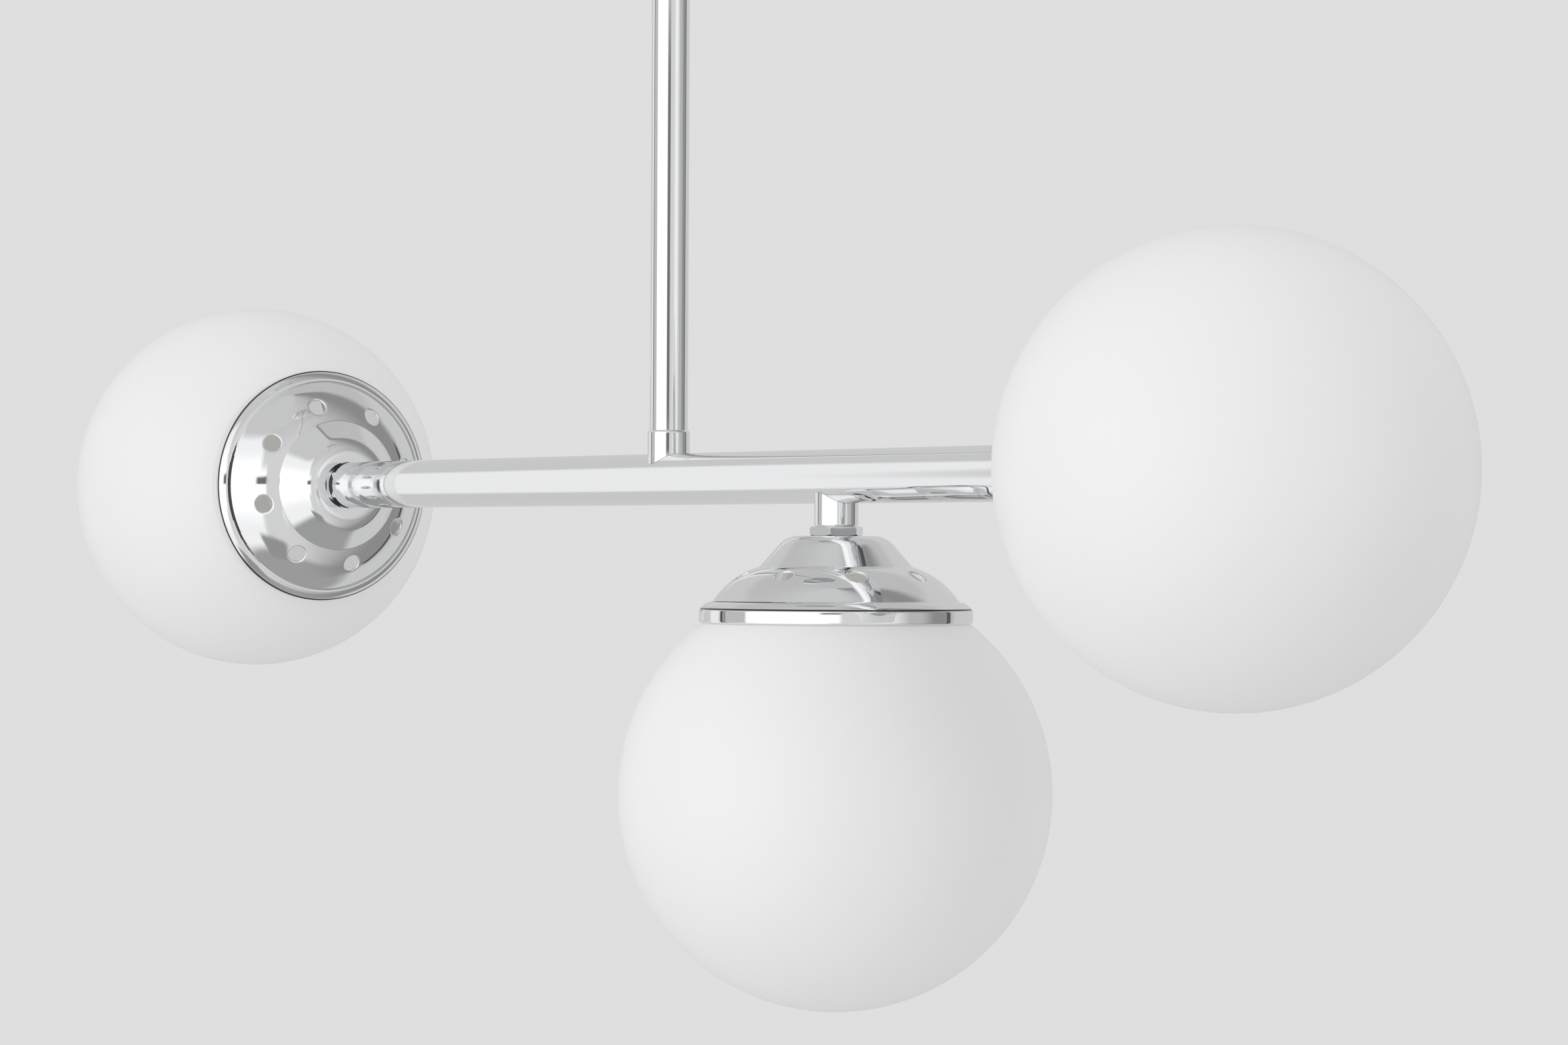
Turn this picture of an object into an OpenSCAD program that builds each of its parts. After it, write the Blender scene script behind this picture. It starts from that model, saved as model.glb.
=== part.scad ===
// Branch chandelier: one straight bar on a stem, a glass globe on each end of
// the bar and a third globe hanging from a short branch under it.
//
// Millimetres. The origin is on the ceiling, at the middle of the crossbar's
// upper face. +Z is up and X runs along the bar, with the hanging globe on +X.
// Each light is drawn in its own frame: its arm ends at z = 0, and the cap,
// the bulb and the globe follow each other down the -Z axis.

/* [Bar and stem] */
// Distance between the centres of the two end globes
globe_span = 714; // [560:2:900]
// Height of the bar's axis below the ceiling
drop = 400; // [240:5:900]
// How far the hanging globe is from the stem, along the bar
branch_x = 119; // [60:1:170]
// Outer diameter of the bar
bar_d = 19; // [18:0.5:26]
// Wall thickness of the bar
bar_wall = 1.2; // [0.8:0.1:1.6]
// Outer diameter of the stem
stem_d = 14; // [13:0.5:18]
// Outer diameter of the two saddle couplings
coupling_d = 15.5; // [15:0.5:20]
// Height of the stem's coupling above the top of the bar
collar_h = 8.7; // [7:0.1:20]
// Length of the branch below the underside of the bar
branch_h = 8; // [4:0.1:60]

/* [Threaded parts] */
// Outer diameter of the threaded nipples
thread_d = 9.7; // [8.5:0.1:10.5]
// Bore of the nipples, which the leads run through
nipple_bore = 7; // [6.6:0.1:7.2]
// Width across flats of the nut between each arm and its cap
locknut_af = 16.8; // [15:0.1:22]
// Thickness of that nut
locknut_t = 3.3; // [2:0.1:6]
// How far a nipple is screwed into the lampholder
holder_thread = 5; // [3:0.5:5.5]

/* [Globes] */
// Outer diameter of a globe
globe_d = 152; // [130:1:200]
// Thickness of the glass
glass_wall = 2.5; // [1.5:0.1:4]
// Diameter of the opening in a globe
mouth_d = 82; // [76:1:84]

/* [Caps] */
// Outer diameter of a cap
cap_d = 96; // [90:1:104]
// Thickness of the spun sheet
cap_sheet = 0.6; // [0.4:0.1:1]
// Diameter of the flat top
cap_flat_d = 26; // [24:1:32]
// Radius of the shoulder round the flat top
cap_shoulder_r = 9.5; // [7:0.5:11]
// Height of the upper dome
cap_upper_h = 10.9; // [9:0.1:13]
// Diameter at the foot of the lower dome
cap_lower_d = 86; // [80:1:88]
// Height of the lower dome
cap_lower_h = 11.9; // [10:0.1:15]
// Height of the flared lip under the lower dome
cap_lip_h = 3.3; // [2:0.1:5]
// Height of the upright band round the rim
cap_band_h = 4.4; // [3:0.1:8]
// Number of vent holes
vent_count = 8; // [4:1:10]
// Diameter of a vent hole
vent_d = 7; // [3:0.5:9]
// Diameter of the circle that the vent holes lie on
vent_ring_d = 67; // [62:1:72]

/* [Lampholders and bulbs] */
// Outer diameter of a lampholder
holder_d = 38; // [34:1:42]
// Diameter of a bulb's screw base
base_d = 26; // [24:0.5:27]
// Length of the threaded part of the base
base_h = 20; // [16:0.5:22]
// Diameter of a bulb at its widest
bulb_d = 60; // [45:1:66]
// Length of a bulb from its contact to its tip
bulb_len = 108; // [90:1:115]
// Thickness of the bulb's housing
bulb_wall = 1.8; // [1:0.1:3]
// Width of each of a globe's three springs
spring_w = 8; // [5:0.5:10]
// Thickness of the spring strip
spring_t = 0.8; // [0.5:0.1:1]

/* [Ceiling fitting] */
// Diameter of the canopy
canopy_d = 124; // [120:1:160]
// Height of the canopy
canopy_h = 30; // [28:1:50]
// Thickness of the canopy's sheet
canopy_sheet = 1; // [0.6:0.1:1.5]
// Radius of the canopy's rounded edge
canopy_edge_r = 12; // [4:1:16]
// Diameter of the collar that holds the canopy up
canopy_collar_d = 22; // [20:0.5:30]
// Height of that collar
canopy_collar_h = 12; // [9:0.5:20]
// Length of the crossbar
crossbar_len = 110; // [100:1:112]
// Width of the crossbar
crossbar_w = 24; // [20:1:28]
// Thickness of the crossbar
crossbar_t = 2; // [1.5:0.5:3]
// Distance between the crossbar's two fixing holes
fixing_spacing = 88.9; // [84:0.1:92]
// Diameter of a fixing hole
fixing_d = 4.8; // [4:0.1:6]
// Diameter of the small machine screws
screw_d = 4; // [3:0.5:5]

/* [Leads] */
// Diameter of a two-core lead
lead_d = 2.6; // [2:0.1:2.7]

/* [Hidden] */
$fn = 72;

// Clearances: between screwed or pushed-together parts, between surfaces
// that slide or turn, and between a part and the seat it rests near
fit_gap = 0.05;
run_gap = 0.08;
seat_gap = 0.3;
cut = 1;

chrome = [0.82, 0.83, 0.85];
steel = [0.62, 0.63, 0.65];
brass = [0.80, 0.66, 0.36];
opal = [0.95, 0.95, 0.94];
porcelain = [0.93, 0.92, 0.89];
plastic = [0.90, 0.90, 0.88];

// Threaded parts
tapped_r = thread_d/2 + fit_gap;
inner_nut_af = 12;
inner_nut_t = 2.5;
clamp_nut_af = 14;
clamp_nut_t = 3;
nut_chamfer = 0.8;

// Bar, stem and couplings
bar_r = bar_d/2;
bar_bore_r = bar_r - bar_wall;
// A nut inside the bar sits where its outer edges meet the curved wall
inner_nut_top = sqrt(pow(bar_bore_r, 2) - pow(inner_nut_af/2, 2)) - run_gap;
inner_nut_low = inner_nut_top - inner_nut_t;
collar_top = bar_r + collar_h;
stem_socket_h = 5;
stem_low = collar_top - stem_socket_h;
stem_seat_r = stem_d/2 + fit_gap;
branch_low = bar_r + branch_h;
plug_len = 12;
plug_thread = 9;

// Cap, measured in the frame of a light
cap_top = -locknut_t;
cap_r = cap_d/2;
cap_slope = 49;
cap_lower_turn = 42;
cap_lip_turn = 49;
shoulder_foot = cap_shoulder_r*[sin(cap_slope), cos(cap_slope) - 1];
waist_drop = cap_upper_h + shoulder_foot[1];
waist = [cap_flat_d/2 + shoulder_foot[0] + waist_drop/tan(cap_slope), cap_top - cap_upper_h];
lower_foot = [cap_lower_d/2, waist[1] - cap_lower_h];
lip_foot = [cap_r, lower_foot[1] - cap_lip_h];
cap_low = lip_foot[1] - cap_band_h;
cap_hole_r = thread_d/2 + 0.2;

// Globe: its outside clears the inner edge of the cap's band
globe_r = globe_d/2;
mouth_r = mouth_d/2;
globe_z = cap_low - sqrt(pow(globe_r + seat_gap, 2) - pow(cap_r - cap_sheet, 2));
mouth_top = globe_z + sqrt(pow(globe_r, 2) - pow(mouth_r, 2));
bar_half = globe_span/2 + globe_z;

// Spring, clamp nut and lampholder
spring_top = cap_top - cap_sheet;
spring_disc_r = cap_flat_d/2 - 1;
clamp_top = spring_top - spring_t;
holder_top = clamp_top - clamp_nut_t;
nipple_low = holder_top - holder_thread;
chamber_r = 8;
chamber_low = nipple_low - 4;
web_t = 3;
shell_top = chamber_low - web_t - 2;
shell_in_r = base_d/2 + run_gap;
shell_t = 0.5;
shell_out_r = shell_in_r + shell_t;
contact_r = 5;
contact_shank_r = 2.9;
contact_t = 1.2;
contact_low = chamber_low - web_t - contact_t;
lead_end = chamber_low + 0.7 + seat_gap;

// Bulb, and the mouth of the lampholder that its neck stops short of
bulb_top = contact_low - seat_gap;
foot_h = 4.5;
foot_tip_r = 4.5;
foot_rim_r = 9.5;
base_top = bulb_top - foot_h - run_gap;
base_low = base_top - base_h;
base_wall = 0.5;
holder_low = base_low + 0.6;
shell_low = holder_low + 1;
bulb_r = bulb_d/2;
neck_r = base_d/2 + 1;
dome_wall = 1.2;
board_t = 1.6;
bulb_tip = bulb_top - bulb_len;
dome_z = bulb_tip + bulb_r;

// Ceiling fitting
strap_drop = 10;
strap_flat = 31;
strap_bend = 5;
strap_low = -strap_drop - crossbar_t;
top_nut_t = 3;
nipple_top = -strap_drop + top_nut_t + 0.5;
stem_top = strap_low - top_nut_t;
lead_bend_r = 3.5;
canopy_hole_r = stem_d/2 + 0.4;
block_size = [20, 20, 12];
block_x = 20;
screw_head_r = screw_d*0.9;
screw_head_h = screw_d*0.55;
ground_x = -22;

// Leads: they lie side by side round the middle of the bore, and run along
// the bar just below its axis
lead_off = nipple_bore/2 - lead_d/2 - 0.2;
lead_x = lead_off*cos(60);
lead_y = lead_off*sin(60);
lead_z = inner_nut_low - 0.1 - lead_bend_r;
lead_over = nipple_top + lead_bend_r;
block_entry_z = strap_low - 6;
entry_y = block_size[1]/2 + seat_gap;
left_entry = [16, 17];
right_entry = [24, 22];
branch_entry = [20, -17];

// How far each cap and nut is turned about its own axis
left_turn = 14;
right_turn = 14;
branch_turn = 26;
nut_turn = 9;

// ---------------------------------------------------------------- geometry

// Points of a convex arc whose tangent falls from slope a to slope b, in
// degrees below level, drawn t inside an outer arc of radius r
function slope_arc(start, r, a, b, t = 0, n = 10) =
    let (c = start - r*[sin(a), cos(a)])
    [for (i = [0:n]) let (s = a + (b - a)*i/n) c + (r - t)*[sin(s), cos(s)]];

// The same arc given by its two ends and the angle it turns through
function chord_start(p, q, turn) = atan2(p[1] - q[1], q[0] - p[0]) - turn/2;
function chord_radius(p, q, turn) = norm(q - p)/(2*sin(turn/2));
function chord_arc(p, q, turn, t = 0, n = 10) =
    let (a = chord_start(p, q, turn))
    slope_arc(p, chord_radius(p, q, turn), a, a + turn, t, n);

// The cap's outline from its top hole to its band, t inside the outer face
function cap_line(t) = concat(
    [[cap_hole_r, cap_top - t]],
    slope_arc([cap_flat_d/2, cap_top], cap_shoulder_r, 0, cap_slope, t),
    [waist - t*[sin(cap_slope), cos(cap_slope)]],
    chord_arc(waist, lower_foot, cap_lower_turn, t, 14),
    chord_arc(lower_foot, lip_foot, cap_lip_turn, t, 6),
    [[cap_r - t, lip_foot[1] - t], [cap_r - t, cap_low]]);

// The canopy's outline from its stem hole to its rim, t inside
function canopy_line(t) = concat(
    [[canopy_hole_r, -canopy_h + t]],
    [for (p = slope_arc([canopy_d/2 - canopy_edge_r, 0], canopy_edge_r, 0, 90, t))
        [p[0], -canopy_h - p[1]]],
    [[canopy_d/2 - t, 0]]);

function backwards(list) = [for (i = [len(list) - 1:-1:0]) list[i]];

// Outline of a bent strip of thickness t along a path, with mitred corners
function ribbon(path, t) =
    let (last = len(path) - 1,
         way = [for (i = [0:last - 1]) (path[i + 1] - path[i])/norm(path[i + 1] - path[i])],
         side = [for (i = [0:last])
            let (u = way[max(i - 1, 0)], v = way[min(i, last - 1)])
            t/2*[-u[1] - v[1], u[0] + v[0]]/(1 + u*v)])
    concat(path + side, backwards(path - side));

// A solid of revolution between an outer outline and the same outline inset
module shell_of(outer, inner) {
    rotate_extrude() polygon(concat(outer, backwards(inner)));
}

// A square corner of a route, rounded with radius r
function round_corner(a, b, c, r, n = 5) =
    let (u = (a - b)/norm(a - b), v = (c - b)/norm(c - b))
    [for (i = [0:n]) b + r*(u + v) - r*(v*cos(90*i/n) + u*sin(90*i/n))];

// A route with every inner corner rounded
function round_route(p, r) = concat([p[0]],
    [for (i = [1:len(p) - 2]) each round_corner(p[i - 1], p[i], p[i + 1], r)],
    [p[len(p) - 1]]);

// Directions along a route, and a side direction carried along it untwisted
function directions(p) = [for (i = [0:len(p) - 1])
    let (d = p[min(i + 1, len(p) - 1)] - p[max(i - 1, 0)]) d/norm(d)];
function carried(dirs, side, i = 0) = i == len(dirs) ? [] :
    let (s = side - (side*dirs[i])*dirs[i], u = s/norm(s))
    concat([u], carried(dirs, u, i + 1));

// A round tube swept along a route. side is any direction square to its start
module sweep(route, r, side, sides = 8) {
    dirs = directions(route);
    across = carried(dirs, side);
    rings = len(route);
    points = [for (i = [0:rings - 1]) each
        [for (k = [0:sides - 1]) let (a = 360*k/sides)
            route[i] + r*(cos(a)*across[i] + sin(a)*cross(dirs[i], across[i]))]];
    walls = [for (i = [0:rings - 2]) each
        [for (k = [0:sides - 1]) let (j = (k + 1)%sides) each
            [[i*sides + k, i*sides + sides + k, i*sides + j],
             [i*sides + j, i*sides + sides + k, i*sides + sides + j]]]];
    lids = [[for (k = [0:sides - 1]) k],
        [for (k = [0:sides - 1]) rings*sides - 1 - k]];
    polyhedron(points, concat(walls, lids));
}

// A hexagon nut standing on z = 0, with chamfered corners and a tapped hole
module hex_nut(af, t, bore_r) {
    corner_r = af/2/cos(30);
    difference() {
        intersection() {
            cylinder(h = t, r = corner_r, $fn = 6);
            union() {
                cylinder(h = nut_chamfer, r1 = corner_r - nut_chamfer, r2 = corner_r);
                translate([0, 0, nut_chamfer]) cylinder(h = t - 2*nut_chamfer, r = corner_r);
                translate([0, 0, t - nut_chamfer])
                    cylinder(h = nut_chamfer, r1 = corner_r, r2 = corner_r - nut_chamfer);
            }
        }
        translate([0, 0, -cut]) cylinder(h = t + 2*cut, r = bore_r);
    }
}

// A flat ring or tube standing on z = low
module tube(low, high, out_r, in_r) {
    translate([0, 0, low]) difference() {
        cylinder(h = high - low, r = out_r);
        translate([0, 0, -cut]) cylinder(h = high - low + 2*cut, r = in_r);
    }
}

// A pan-head screw: its head's flat face lies at z = 0, the shank points up
module pan_screw(shank) {
    cylinder(h = shank, d = screw_d);
    difference() {
        translate([0, 0, -screw_head_h])
            cylinder(h = screw_head_h, r1 = screw_head_r*0.8, r2 = screw_head_r);
        translate([-screw_head_r, -0.4, -screw_head_h - cut])
            cube([2*screw_head_r, 0.8, screw_head_h*0.4 + cut]);
    }
}

// Places of the three lights and of the bar
module at_bar() { translate([0, 0, -drop]) children(); }
module at_left() { at_bar() translate([-bar_half, 0, 0]) rotate([0, 90, 0]) children(); }
module at_right() { at_bar() translate([bar_half, 0, 0]) rotate([0, -90, 0]) children(); }
module at_branch() { at_bar() translate([branch_x, 0, -branch_low]) children(); }

// --------------------------------------------------------- ceiling fitting

// Strap with raised ends that lie on the ceiling, tapped in the middle
module crossbar() {
    half = crossbar_len/2;
    lip = [[strap_flat, -strap_drop], [strap_flat + strap_bend, 0]];
    right = concat([[0, -strap_drop]], lip, [[half, 0], [half, -crossbar_t]],
        [for (p = backwards(lip)) p + [1, -crossbar_t]], [[0, strap_low]]);
    left = [for (p = backwards(right)) [-p[0], p[1]]];
    color(steel) difference() {
        for (side = [right, left])
            rotate([90, 0, 0]) linear_extrude(crossbar_w, center = true) polygon(side);
        translate([0, 0, strap_low - cut]) cylinder(h = crossbar_t + 2*cut, r = tapped_r);
        for (x = [ground_x, block_x]) translate([x, 0, strap_low - cut])
            cylinder(h = crossbar_t + 2*cut, r = screw_d/2 + fit_gap);
        for (x = [-1, 1]) translate([x*fixing_spacing/2, 0, -crossbar_t - cut])
            cylinder(h = crossbar_t + 2*cut, d = fixing_d);
    }
}

module ground_screw() {
    color([0.25, 0.55, 0.3]) translate([ground_x, 0, strap_low]) pan_screw(crossbar_t + 3);
}

module terminal_block() {
    color(plastic) difference() {
        translate([block_x, 0, strap_low - block_size[2]/2]) cube(block_size, center = true);
        translate([block_x, 0, strap_low - block_size[2] - cut])
            cylinder(h = block_size[2] + 2*cut, r = screw_d/2 + 0.1);
    }
}

module terminal_screw() {
    color(steel) translate([block_x, 0, strap_low - block_size[2]])
        pan_screw(block_size[2] + crossbar_t + 1);
}

module top_nipple() {
    color(steel) tube(stem_top - 12, nipple_top, thread_d/2, nipple_bore/2);
}

// One nut above the crossbar and one between it and the stem
module top_nuts() {
    color(steel) {
        translate([0, 0, -strap_drop]) hex_nut(clamp_nut_af, top_nut_t, tapped_r);
        translate([0, 0, stem_top]) hex_nut(clamp_nut_af, top_nut_t, tapped_r);
    }
}

module canopy() {
    color(chrome) shell_of(canopy_line(0), canopy_line(canopy_sheet));
}

module canopy_collar() {
    low = -canopy_h - canopy_collar_h;
    color(chrome) difference() {
        tube(low, -canopy_h, canopy_collar_d/2, stem_d/2 + run_gap);
        translate([0, 0, low + canopy_collar_h/2]) rotate([90, 0, 0])
            cylinder(h = canopy_collar_d, r = screw_d/2 + fit_gap);
    }
}

// Headless set screw in the side of the collar, up against the stem
module canopy_set_screw() {
    near = stem_d/2 + run_gap;
    color(steel) translate([0, -near, -canopy_h - canopy_collar_h/2]) rotate([90, 0, 0])
        difference() {
            cylinder(h = canopy_collar_d/2 - near, d = screw_d);
            translate([0, 0, canopy_collar_d/2 - near - 1.5])
                cylinder(h = 1.5 + cut, r = 1.1, $fn = 6);
        }
}

// ------------------------------------------------------------ stem and bar

// Tube tapped at both ends for the nipples
module stem() {
    color(chrome) tube(-drop + stem_low, stem_top, stem_d/2, tapped_r);
}

// Coupling cut to the bar's curve, with a socket for the end of the stem
module stem_collar() {
    color(chrome) at_bar() difference() {
        cylinder(h = collar_top, d = coupling_d);
        translate([0, 0, -cut]) cylinder(h = collar_top + 2*cut, r = tapped_r);
        translate([0, 0, stem_low]) cylinder(h = stem_socket_h + cut, r = stem_seat_r);
        rotate([0, 90, 0]) cylinder(h = 2*coupling_d, r = bar_r + fit_gap, center = true);
    }
}

module stem_nipple() {
    color(steel) at_bar() tube(inner_nut_low - 0.1, stem_low + 12, thread_d/2, nipple_bore/2);
}

module bar() {
    color(chrome) at_bar() difference() {
        rotate([0, 90, 0]) cylinder(h = 2*bar_half, r = bar_r, center = true);
        rotate([0, 90, 0]) cylinder(h = 2*bar_half + 2*cut, r = bar_bore_r, center = true);
        cylinder(h = bar_d, r = tapped_r);
        translate([branch_x, 0, -bar_d]) cylinder(h = bar_d, r = tapped_r);
    }
}

// Nuts inside the bar, which hold the stem and the branch to it
module bar_nuts() {
    color(steel) at_bar() {
        translate([0, 0, inner_nut_low]) hex_nut(inner_nut_af, inner_nut_t, tapped_r);
        translate([branch_x, 0, -inner_nut_top]) hex_nut(inner_nut_af, inner_nut_t, tapped_r);
    }
}

// The branch: a short coupling cut to the underside of the bar
module branch_collar() {
    color(chrome) at_bar() translate([branch_x, 0, 0]) difference() {
        translate([0, 0, -branch_low]) cylinder(h = branch_low, d = coupling_d);
        translate([0, 0, -branch_low - cut]) cylinder(h = branch_low + 2*cut, r = tapped_r);
        rotate([0, 90, 0]) cylinder(h = 2*coupling_d, r = bar_r + fit_gap, center = true);
    }
}

module branch_nipple() {
    color(steel) at_branch()
        tube(nipple_low, branch_low - inner_nut_low + 0.1, thread_d/2, nipple_bore/2);
}

// Turned plugs pressed into the ends of the bar
module end_plugs() {
    color(steel) {
        at_left() tube(0, plug_len, bar_bore_r - fit_gap, tapped_r);
        at_right() tube(0, plug_len, bar_bore_r - fit_gap, tapped_r);
    }
}

module end_nipples() {
    color(steel) {
        at_left() tube(nipple_low, plug_thread, thread_d/2, nipple_bore/2);
        at_right() tube(nipple_low, plug_thread, thread_d/2, nipple_bore/2);
    }
}

module locknuts() {
    color(chrome) {
        at_left() locknut();
        at_right() locknut();
        at_branch() locknut();
    }
}

module locknut() {
    translate([0, 0, cap_top]) rotate([0, 0, nut_turn]) hex_nut(locknut_af, locknut_t, tapped_r);
}

module clamp_nuts() {
    color(steel) {
        at_left() clamp_nut();
        at_right() clamp_nut();
        at_branch() clamp_nut();
    }
}

module clamp_nut() {
    translate([0, 0, holder_top]) hex_nut(clamp_nut_af, clamp_nut_t, tapped_r);
}

// ------------------------------------------------------------------- leads

// A two-core lead on its real route: terminal block, over the crossbar's
// edge, down the stem, then along the bar
module lead(route, side) {
    color([0.2, 0.2, 0.21]) sweep(round_route(route, lead_bend_r), lead_d/2, side);
}

function lead_start(x, y, entry) = [
    [entry[0], sign(entry[1])*entry_y, block_entry_z],
    [entry[0], entry[1], block_entry_z],
    [x, entry[1], block_entry_z],
    [x, entry[1], lead_over],
    [x, y, lead_over]];

module left_lead() {
    lead(concat(lead_start(-lead_off, 0, left_entry),
        [[-lead_off, 0, lead_z - drop], [-bar_half + lead_end, 0, lead_z - drop]]), [1, 0, 0]);
}

module right_lead() {
    lead(concat(lead_start(lead_x, lead_y, right_entry),
        [[lead_x, lead_y, lead_z - drop], [bar_half - lead_end, lead_y, lead_z - drop]]),
        [1, 0, 0]);
}

module branch_lead() {
    lead(concat(lead_start(lead_x, -lead_y, branch_entry),
        [[lead_x, -lead_y, lead_z - drop], [branch_x, -lead_y, lead_z - drop],
         [branch_x, -lead_y, lead_end - branch_low - drop]]), [1, 0, 0]);
}

// ------------------------------------------------ one light, in its own frame

// Spun cap with a stepped dome, an upright band and a ring of vent holes
module cap(turn) {
    a = chord_start(waist, lower_foot, cap_lower_turn);
    r = chord_radius(waist, lower_foot, cap_lower_turn);
    slope = asin(sin(a) + (vent_ring_d/2 - waist[0])/r);
    vent_z = waist[1] - r*cos(a) + r*cos(slope);
    color(chrome) difference() {
        shell_of(cap_line(0), cap_line(cap_sheet));
        for (i = [0:vent_count - 1]) rotate([0, 0, turn + 360*i/vent_count])
            translate([vent_ring_d/2, 0, vent_z]) rotate([0, slope, 0])
                cylinder(h = 6, d = vent_d, center = true);
    }
}

// Disc with three sprung arms that grip the edge of the globe's mouth. An arm
// is a little thinner than the disc and starts inside it
module spring() {
    arm_t = spring_t - 0.1;
    root = [spring_disc_r - 3, spring_top - spring_t/2];
    grip_r = mouth_r - seat_gap - arm_t/2;
    grip_top = mouth_top + 1.5;
    grip_low = grip_top - 7;
    arm = [root, root + [3.5, 0], waist + [-5.5, 0.8], [grip_r - 3.5, grip_top + 4],
        [grip_r, grip_top], [grip_r, grip_low], [grip_r - 3.5, grip_low - 5]];
    color(steel) difference() {
        union() {
            translate([0, 0, spring_top - spring_t]) cylinder(h = spring_t, r = spring_disc_r);
            for (i = [0:2]) rotate([0, 0, 60 + 120*i]) rotate([90, 0, 0])
                linear_extrude(spring_w, center = true) polygon(ribbon(arm, arm_t));
        }
        translate([0, 0, spring_top - 2*spring_t]) cylinder(h = 3*spring_t, r = cap_hole_r);
    }
}

// Porcelain body: nipple thread, wiring chamber, web and bore for the shell
module holder() {
    r = holder_d/2;
    neck = clamp_nut_af/2 + 5;
    color(porcelain) difference() {
        rotate_extrude() polygon([[0, holder_top], [neck, holder_top], [neck, holder_top - 2],
            [r, holder_top - 8], [r, holder_low + 1], [r - 1, holder_low], [0, holder_low]]);
        translate([0, 0, chamber_low]) cylinder(h = holder_top - chamber_low + cut, r = tapped_r);
        translate([0, 0, chamber_low]) cylinder(h = nipple_low - chamber_low, r = chamber_r);
        translate([0, 0, chamber_low - web_t - cut])
            cylinder(h = web_t + 2*cut, r = contact_shank_r + fit_gap);
        translate([0, 0, holder_low - cut])
            cylinder(h = shell_top - holder_low + cut, r = shell_out_r + fit_gap);
        translate([0, 0, holder_low - cut])
            cylinder(h = chamber_low - web_t - holder_low + cut, r = base_d/2 - 1.5);
    }
}

// Screw shell that the bulb turns in
module shell() {
    color(brass) tube(shell_low, shell_top, shell_out_r, shell_in_r);
}

// Centre contact, riveted through the web
module contact() {
    color(brass) {
        translate([0, 0, contact_low]) cylinder(h = contact_t, r = contact_r);
        translate([0, 0, contact_low]) cylinder(h = lead_end - seat_gap - contact_low,
            r = contact_shank_r);
    }
}

// Insulator and tip of the bulb's base, which only rides up and down
module bulb_foot() {
    color([0.12, 0.12, 0.13]) rotate_extrude() polygon([[0, bulb_top], [foot_tip_r - 1, bulb_top],
        [foot_tip_r, bulb_top - 1], [foot_rim_r, bulb_top - foot_h + 1.5],
        [foot_rim_r, bulb_top - foot_h], [0, bulb_top - foot_h]]);
}

// Screw base of the bulb, a cup open towards the housing
module bulb_base() {
    color(steel) difference() {
        translate([0, 0, base_low]) cylinder(h = base_h, r = base_d/2);
        translate([0, 0, base_low - cut])
            cylinder(h = base_h - base_wall + cut, r = base_d/2 - base_wall);
    }
}

// Housing between the base and the dome, open towards the dome
module bulb_body() {
    flare_top = base_low - 4;
    flare = [for (i = [0:12]) [neck_r + (bulb_r - neck_r)*sin(90*i/12),
        flare_top + (dome_z - flare_top)*i/12]];
    color(plastic) rotate_extrude() polygon(concat([[0, base_low], [neck_r, base_low]], flare,
        [for (p = backwards(flare)) p - [bulb_wall, 0]],
        [[neck_r - bulb_wall, base_low - bulb_wall], [0, base_low - bulb_wall]]));
}

// Board that carries the light sources, across the mouth of the housing
module bulb_board() {
    color([0.9, 0.9, 0.92]) translate([0, 0, dome_z])
        cylinder(h = board_t, r = bulb_r - bulb_wall - 0.2);
}

// Light-giving dome
module bulb_dome() {
    color(opal) translate([0, 0, dome_z]) difference() {
        sphere(r = bulb_r);
        sphere(r = bulb_r - dome_wall);
        cylinder(h = bulb_r + cut, r = bulb_r + cut);
    }
}

// Opal glass ball with an opening at the top
module globe() {
    color(opal) translate([0, 0, globe_z]) difference() {
        sphere(r = globe_r);
        sphere(r = globe_r - glass_wall);
        cylinder(h = globe_r + cut, r = mouth_r);
    }
}

// ------------------------------------------------------------------- nodes

crossbar();
ground_screw();
terminal_block();
terminal_screw();
top_nipple();
top_nuts();
canopy();
canopy_collar();
canopy_set_screw();
stem();
stem_collar();
stem_nipple();
bar();
bar_nuts();
branch_collar();
branch_nipple();
end_plugs();
end_nipples();
locknuts();
clamp_nuts();
left_lead();
right_lead();
branch_lead();
at_left() cap(left_turn);  // left_cap
at_left() spring();  // left_spring
at_left() holder();  // left_holder
at_left() shell();  // left_shell
at_left() contact();  // left_contact
at_left() bulb_foot();  // left_bulb_foot
at_left() bulb_base();  // left_bulb_base
at_left() bulb_body();  // left_bulb_body
at_left() bulb_board();  // left_bulb_board
at_left() bulb_dome();  // left_bulb_dome
at_left() globe();  // left_globe
at_right() cap(right_turn);  // right_cap
at_right() spring();  // right_spring
at_right() holder();  // right_holder
at_right() shell();  // right_shell
at_right() contact();  // right_contact
at_right() bulb_foot();  // right_bulb_foot
at_right() bulb_base();  // right_bulb_base
at_right() bulb_body();  // right_bulb_body
at_right() bulb_board();  // right_bulb_board
at_right() bulb_dome();  // right_bulb_dome
at_right() globe();  // right_globe
at_branch() cap(branch_turn);  // branch_cap
at_branch() spring();  // branch_spring
at_branch() holder();  // branch_holder
at_branch() shell();  // branch_shell
at_branch() contact();  // branch_contact
at_branch() bulb_foot();  // branch_bulb_foot
at_branch() bulb_base();  // branch_bulb_base
at_branch() bulb_body();  // branch_bulb_body
at_branch() bulb_board();  // branch_bulb_board
at_branch() bulb_dome();  // branch_bulb_dome
at_branch() globe();  // branch_globe
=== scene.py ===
# %% [markdown]
# # A branch chandelier with three opal globes
# A chromed bar hangs on a stem. It carries a glass globe at each end and a third one under a short branch.
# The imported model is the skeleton: every solid of it already sits at its real place, in metres, with the
# ceiling at height 0. This script loads it once and dresses it, so nothing ever has to be fitted by eye.

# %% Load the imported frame
import math

import bmesh
import bpy
from mathutils import Matrix, Vector


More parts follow.
